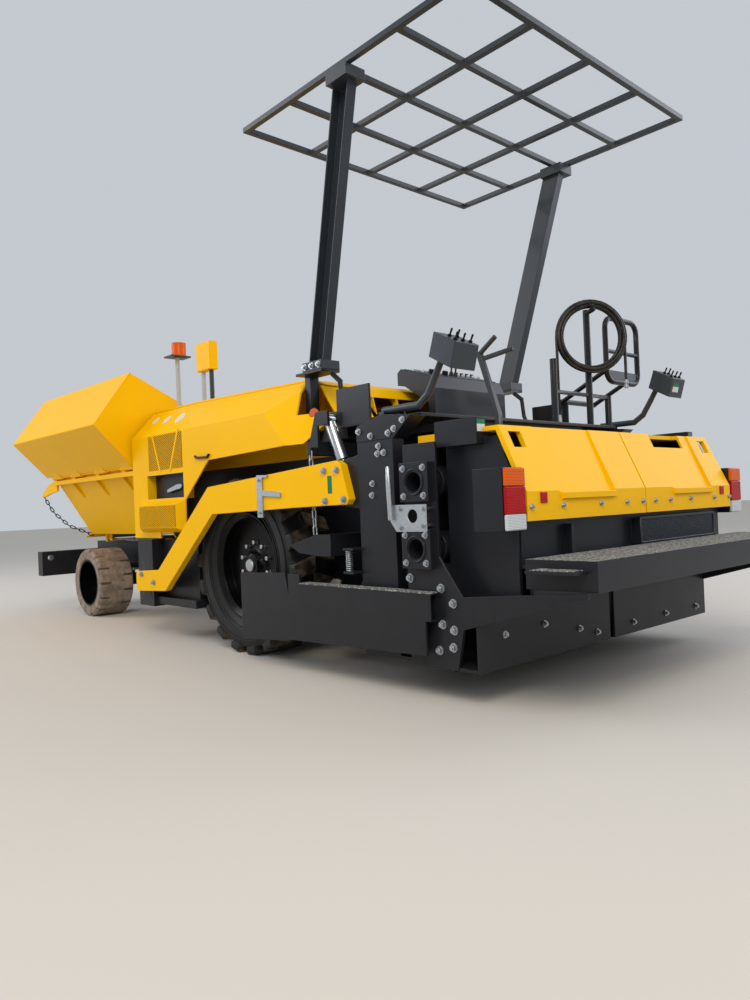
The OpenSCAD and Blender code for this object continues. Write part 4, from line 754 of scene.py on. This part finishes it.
# Places across the panel, place up it, radius, height and finish of each row
fittings = [(x, v, radius, height, finish) for row, v, radius, height, finish in (
    ((-0.08, 0.01, 0.10), 0.17, 0.030, 0.010, zinc), (button_row, 0.18, 0.014, 0.022, rim_black),
    (button_row, 0.12, 0.012, 0.018, zinc), ((-0.06, 0.06), 0.06, 0.020, 0.030, rim_black)) for x in row]
for k, (x, v, radius, height, finish) in enumerate(fittings):
    turned(f"panel_fitting_{k}", [(radius, 0), (radius, height * 0.7), (radius * 0.8, height)],
           on_panel(x, v) + sunk, panel_out, finish, "chassis", 20)
for k, x in enumerate((0.13, 0.17)):
    turned(f"travel_lever_{k}", [(0.016, 0), (0.012, 0.02), (0.006, 0.03), (0.006, 0.13), (0.016, 0.14),
                                 (0.018, 0.16), (0.012, 0.18)],
           on_panel(x, 0.07) + sunk, (0, -0.15, 1), rim_black, "chassis", 16)


# WARNING BEACON
# A ribbed amber lens of moulded acrylic, on a dark plate at the top of a light grey post that rises
# from the left of the top cover.
def lens(name, tint, depth):
    """Moulded acrylic lens: clear gloss over deep colour."""
    finish, tree, coordinates = bare_finish(name)
    # Optic ribs of 6 mm moulded on the back of the lens
    ribs = add(tree, "ShaderNodeTexWave", bands_direction="Z", links={
        "Vector": coordinates["Object"], "Scale": 52})
    colour = add(tree, "ShaderNodeMix", data_type="RGBA", links={
        mix_by: ribs.outputs["Fac"], mix_from: linear(tint), mix_to: linear(depth)})
    skin = add(tree, "ShaderNodeBump", {
        "Height": ribs.outputs["Fac"], "Strength": 0.3, "Distance": 0.001})
    shader = add(tree, "ShaderNodeBsdfPrincipled", {
        "Base Color": colour.outputs[2], "Roughness": 0.2, "Specular IOR Level": 0.15,
        "Coat Weight": 0.08, "Coat Roughness": 0.05, "Normal": skin.outputs[0]})
    add(tree, "ShaderNodeOutputMaterial", {"Surface": shader.outputs[0]})
    return finish


amber_lens = lens("amber_lens", "#F06A00", "#B84400")
beacon_plate_top, beacon_post_top = 2.0305, 2.017
dress("warning_lamps", amber_lens, 0.0025, [
    (slate_enamel, lambda place, facing: place.z < beacon_plate_top),
    (post_grey, lambda place, facing: place.z < beacon_post_top)])


# TOW ARMS AND SCREED
# The yellow arms, cut from thick plate, tow the floating screed from pins beside the front of the
# machine; the screed and its sliding extensions are charcoal, its hoods and covers yellow.
arm_face = 1.0352
dress("tow_arms", yellow_enamel, 0.003, [(zinc, lambda place, facing: abs(place.x) > arm_face)], 12)
for node in ("screed_frame", "extension_left", "extension_right"):
    dress(node, charcoal_enamel, bend=16)
dress("control_boxes", slate_enamel, 0.004)
for node in ("screed_cover", "hood_left", "hood_right"):
    dress(node, yellow_enamel, bend=8)
hard_chrome = worn_metal("hard_chrome", "#C8CACC", "#B4B7BA", 0, 0.16)
for side, s in both_sides:
    dress("lift_barrel_" + side, hard_chrome)
    dress("lift_rod_" + side, hard_chrome, 0.001)


# TAIL LAMPS AND REFLECTORS
# Amber, red and clear acrylic lenses of one lamp are screwed on each black housing, and a red
# reflector is glued on each hood.
red_lens = lens("red_lens", "#C60812", "#7C0308")
clear_lens = lens("clear_lens", "#D9DDDF", "#A9AFB3")
for side, s in both_sides:
    for name, low, high, finish, slot in (
            ("amber", 0.930, 1.003, amber_lens, "lamp_amber"), ("red", 0.818, 0.929, red_lens, "lamp_red"),
            ("clear", 0.753, 0.817, clear_lens, "lamp_amber")):
        lamp_glass = plate(
            f"{name}_tail_lens_{side}", rectangle((s * 0.976, -2.8003, low), (s * 1.103, -2.8003, high)),
            0.017, rearward, finish, "screed", 0.004)
        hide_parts("tail_lamps")
    plate("hood_reflector_" + side, rectangle((s * 0.827, -2.812, 0.857), (s * 0.873, -2.812, 0.903)),
          0.006, rearward, red_lens, "hood_" + side, 0.002)


# WALKWAY, STEP AND VENT PANEL
# The walkway is a steel plate under anti-slip grit, black on its edges, with a small gritted step at
# its left end. The vent panel above it is expanded metal in slate enamel, over a nearly black sheet of
# painted shade.
grit = enamel("grit_paint", "#5B5C5B", "#4B4C4B", 0.85, 0.12, 0)
grit_tree = grit.node_tree
grit_base = next(n for n in grit_tree.nodes if n.type == "BSDF_PRINCIPLED").inputs["Base Color"]
grit_place = next(n for n in grit_tree.nodes if n.type == "TEX_COORD").outputs["Object"]
# Grains of about 2 mm, drawn at 12 mm so that the speckle shows
grains = add(grit_tree, "ShaderNodeTexVoronoi", {"Vector": grit_place, "Scale": 85})
grain_mix = add(grit_tree, "ShaderNodeMapRange", {
    "Value": grains.outputs["Distance"], "From Min": 0.12, "From Max": 0.55, "To Min": 0.75, "To Max": 0})
speckle = add(grit_tree, "ShaderNodeMix", data_type="RGBA", links={
    mix_by: grain_mix.outputs[0], mix_from: grit_base.links[0].from_socket, mix_to: linear("#D2D3CE")})
grit_tree.links.new(speckle.outputs[2], grit_base)
tread_low = 0.63
dress("walkway", charcoal_enamel, 0.002, [
    (grit, lambda place, facing: facing.z > 0.9 and place.z > tread_low)], 12)
plate("step_tread", [(-1.018, -3.096, 0.6003), (-1.098, -3.092, 0.6003), (-1.098, -2.908, 0.6003),
                     (-1.018, -2.904, 0.6003)], 0.003, (0, 0, 1), grit, "screed", 0.001)
# A nearly black sheet behind the vent's strands is painted shade for the dark inside of the vent
plate("vent_shade_back", rectangle((-0.025, -2.7895, 0.645), (0.763, -2.7895, 0.751)), 0.001, rearward,
      vent_shade_black, "screed", 0)
grow("vent_strands", bpy.data.meshes.new("start"), metal_tree, {
    "Wide": 0.762, "High": 0.093, "Columns": 34, "Rows": 9, "Strand": 0.004,
    "Lean": math.atan2(0.0116, 0.0231), "Reach": 0.0279, "Centre": (0.369, -2.7935, 0.698),
    "Turn": (math.pi / 2, 0, 0), "Finish": slate_enamel}, "screed")


# LEVELLING BRACKETS, GUIDE RINGS AND BEAM FLANGES
# A zinc-plated bracket with a round rod is bolted on four spacers between the guide flanges. A raised
# ring is turned round each guide hole, and grit lies on the upper flange of each box beam.
bracket_face, guide_y = 1.0855, -2.290
for side, s in both_sides:
    body = "extension_" + side
    hole = [(s * bracket_face, -2.283 + 0.030 * math.cos(a), 0.821 + 0.030 * math.sin(a))
            for a in (k * math.pi / 12 for k in range(24))]
    plate("levelling_plate_" + side, [(s * bracket_face, y, z) for y, z in (
        (-2.158, 0.873), (-2.370, 0.872), (-2.369, 0.751), (-2.178, 0.751), (-2.140, 0.799))],
        0.006, (s, 0, 0), zinc, body, 0.001, hole)
    for k, (y, z) in enumerate(bracket_bolts):
        turned(f"plate_spacer_{side}_{k}", [(0.010, 0), (0.010, 0.0355)], (s * 1.050, y, z), (s, 0, 0),
               zinc, body, 16)
    turned("levelling_rod_" + side, [(0.014, 0), (0.014, 0.16), (0.010, 0.24), (0.006, 0.246)],
           (s * 1.0995, -2.154, 0.805), (0, 0.0365, 0.9993), zinc, body, 20)
    for k, z in enumerate((0.972, 0.674)):
        hoop(f"guide_ring_{side}_{k}", (s * bracket_face, guide_y, z), 0.056, 0.006, charcoal_enamel, body)
    plate("beam_flange_" + side, rectangle((s * 1.036, -2.381, 0.4803), (s * 1.103, -1.440, 0.4803)),
          0.006, (0, 0, 1), grit, body, 0.001)


# CONTROL BOXES AND BLANK LABELS
# Each sheet-metal box has five black toggles on its sloping top; black caps lock the clamps on the
# columns. The white and green films on the right box, the side blocks and the arms are blank.
label_green = enamel("label_film_green", "#0B7A4B", "#0A6E44", 0.35, 0.15, 0)
box_top = Vector((0, -2.540, 1.557))
box_run = Vector((0, 0.881, 0.473))
box_up = Vector((0, -0.473, 0.881))
for side, s in both_sides:
    for k, (y, z, radius) in enumerate(((-1.915, 1.281, 0.030), (-2.105, 1.287, 0.020))):
        turned(f"clamp_cap_{side}_{k}", [(radius, -0.012), (radius, 0.016), (radius * 0.8, 0.024),
                                         (radius * 0.3, 0.027)],
               (s * 0.955, y, z), (0, 0, 1), rim_black, "screed", 20)
    for k, (x, v) in enumerate(((0.920, 0.03), (0.970, 0.03), (1.020, 0.03), (0.945, 0.09), (0.995, 0.09))):
        turned(f"box_toggle_{side}_{k}", [(0.009, 0), (0.009, 0.008), (0.004, 0.010), (0.005, 0.034),
                                          (0.003, 0.037)],
               box_top + box_run * v + Vector((s * x, 0, 0)), box_up, rim_black, "screed", 12)
    for name, low, high, film in (("white", 1.172, 1.204, film_white), ("green", 1.2045, 1.224, label_green)):
        plate(f"{name}_box_label_{side}", rectangle((s * 0.942, -2.5923, low), (s * 0.994, -2.5923, high)),
              0.0008, rearward, film, "screed", 0)
    plate("arm_label_" + side, rectangle((s * arm_face, -1.662, 0.945), (s * arm_face, -1.628, 1.035)),
          0.0008, (s, 0, 0), label_green, "screed", 0)
face_down = Vector((0, 0.279, -0.960))
face_out = Vector((0, -0.960, -0.279))
for name, low, high, film in (("white", 0.050, 0.082, film_white), ("green", 0.028, 0.0495, label_green)):
    plate(f"{name}_case_label", [
        box_top + face_down * v + Vector((x, 0, 0)) + face_out * 0.0003 for x, v in (
            (0.915, low), (0.985, low), (0.985, high), (0.915, high))],
        0.0006, face_out, film, "screed", 0)


# CHAINS
# Round links of 8 mm wire, each turned a quarter from the last. Two zinc-plated chains hang from eyes
# that are bolted to the lift brackets, and two black ones hold the hopper's front apron.
chain_tree, chain_in = tree_of("chain", {"Pitch": 0.042, "Long": 0.051, "Wide": 0.021, "Wire": 0.0042})
stations = add(chain_tree, "GeometryNodeResampleCurve", mode="LENGTH", links={
    "Curve": chain_in["Geometry"], "Length": chain_in["Pitch"]})
link_line = add(chain_tree, "GeometryNodeCurvePrimitiveQuadrilateral", {
    "Width": chain_in["Long"], "Height": chain_in["Wide"]})
link_round = add(chain_tree, "GeometryNodeFilletCurve", mode="POLY", links={
    "Curve": link_line.outputs[0], "Radius": 0.0104, "Count": 4})
wire_ring = add(chain_tree, "GeometryNodeCurvePrimitiveCircle", {
    "Resolution": 8, "Radius": chain_in["Wire"]})
link_body = add(chain_tree, "GeometryNodeCurveToMesh", {
    "Curve": link_round.outputs[0], "Profile Curve": wire_ring.outputs[0]})
run_way = add(chain_tree, "GeometryNodeInputTangent")
run_turn = add(chain_tree, "FunctionNodeAlignRotationToVector", axis="X", links={
    "Vector": run_way.outputs[0]})
order = add(chain_tree, "GeometryNodeInputIndex")
quarter = add(chain_tree, "ShaderNodeMath", operation="MULTIPLY", links={0: order.outputs[0], 1: math.pi / 2})
roll = add(chain_tree, "FunctionNodeAxisAngleToRotation", {
    "Axis": (1, 0, 0), "Angle": quarter.outputs[0]})
rolled = add(chain_tree, "FunctionNodeRotateRotation", rotation_space="LOCAL", links={
    "Rotation": run_turn.outputs[0], "Rotate By": roll.outputs[0]})
links_placed = add(chain_tree, "GeometryNodeInstanceOnPoints", {
    "Points": stations.outputs[0], "Instance": link_body.outputs[0], "Rotation": rolled.outputs[0]})
end_tree(chain_tree, chain_in, links_placed)
for side, s in both_sides:
    plate("chain_eye_" + side, rectangle((s * 0.934, -1.428, 1.160), (s * 0.934, -1.400, 1.200)), 0.045,
          (s, 0, 0), charcoal_enamel, "chassis", 0.002)
    for name, finish, slot, run in (
            ("hold_up", zinc, "worn_steel",
             ((0.972, -1.418, 1.158), (0.972, -1.424, 1.00), (0.972, -1.430, 0.752))),
            ("hopper", charcoal_enamel, "black_frame",
             ((0.905, 2.720, 1.062), (0.860, 2.640, 0.930), (0.760, 2.540, 0.800), (0.600, 2.440, 0.715)))):
        grow(f"{name}_chain_{side}", line_of("run", [(s * x, y, z) for x, y, z in run]), chain_tree,
             {"Finish": finish}, "chassis")


# RETURN SPRINGS
# The spring of each side plate is ten coils of zinc-plated wire, held between two flat brackets on
# the column.
spring_tree, spring_in = tree_of("coil_spring", {
    "Radius": 0.015, "Height": 0.104, "Turns": 10.0, "Wire": 0.0035, "Foot": (0, 0, 0)})
spiral = add(spring_tree, "GeometryNodeCurveSpiral", {
    "Resolution": 20, "Rotations": spring_in["Turns"], "Start Radius": spring_in["Radius"],
    "End Radius": spring_in["Radius"], "Height": spring_in["Height"]})
spring_wire = add(spring_tree, "GeometryNodeCurvePrimitiveCircle", {
    "Resolution": 8, "Radius": spring_in["Wire"]})
spring_body = add(spring_tree, "GeometryNodeCurveToMesh", {
    "Curve": spiral.outputs[0], "Profile Curve": spring_wire.outputs[0], "Fill Caps": True})
spring_set = add(spring_tree, "GeometryNodeTransform", {
    "Geometry": spring_body.outputs[0], "Translation": spring_in["Foot"]})
end_tree(spring_tree, spring_in, spring_set)
for side, s in both_sides:
    for name, low in (("upper", 0.657), ("lower", 0.541)):
        plate(f"{name}_spring_bracket_{side}", [(s * x, y, low) for x, y in (
            (0.990, -1.832), (1.062, -1.832), (1.062, -1.756), (0.990, -1.780))],
            0.012, (0, 0, 1), charcoal_enamel, "screed", 0.002)
    grow("return_spring_" + side, bpy.data.meshes.new("start"), spring_tree, {
        "Foot": (s * 1.040, -1.781, 0.553), "Finish": zinc}, "screed")
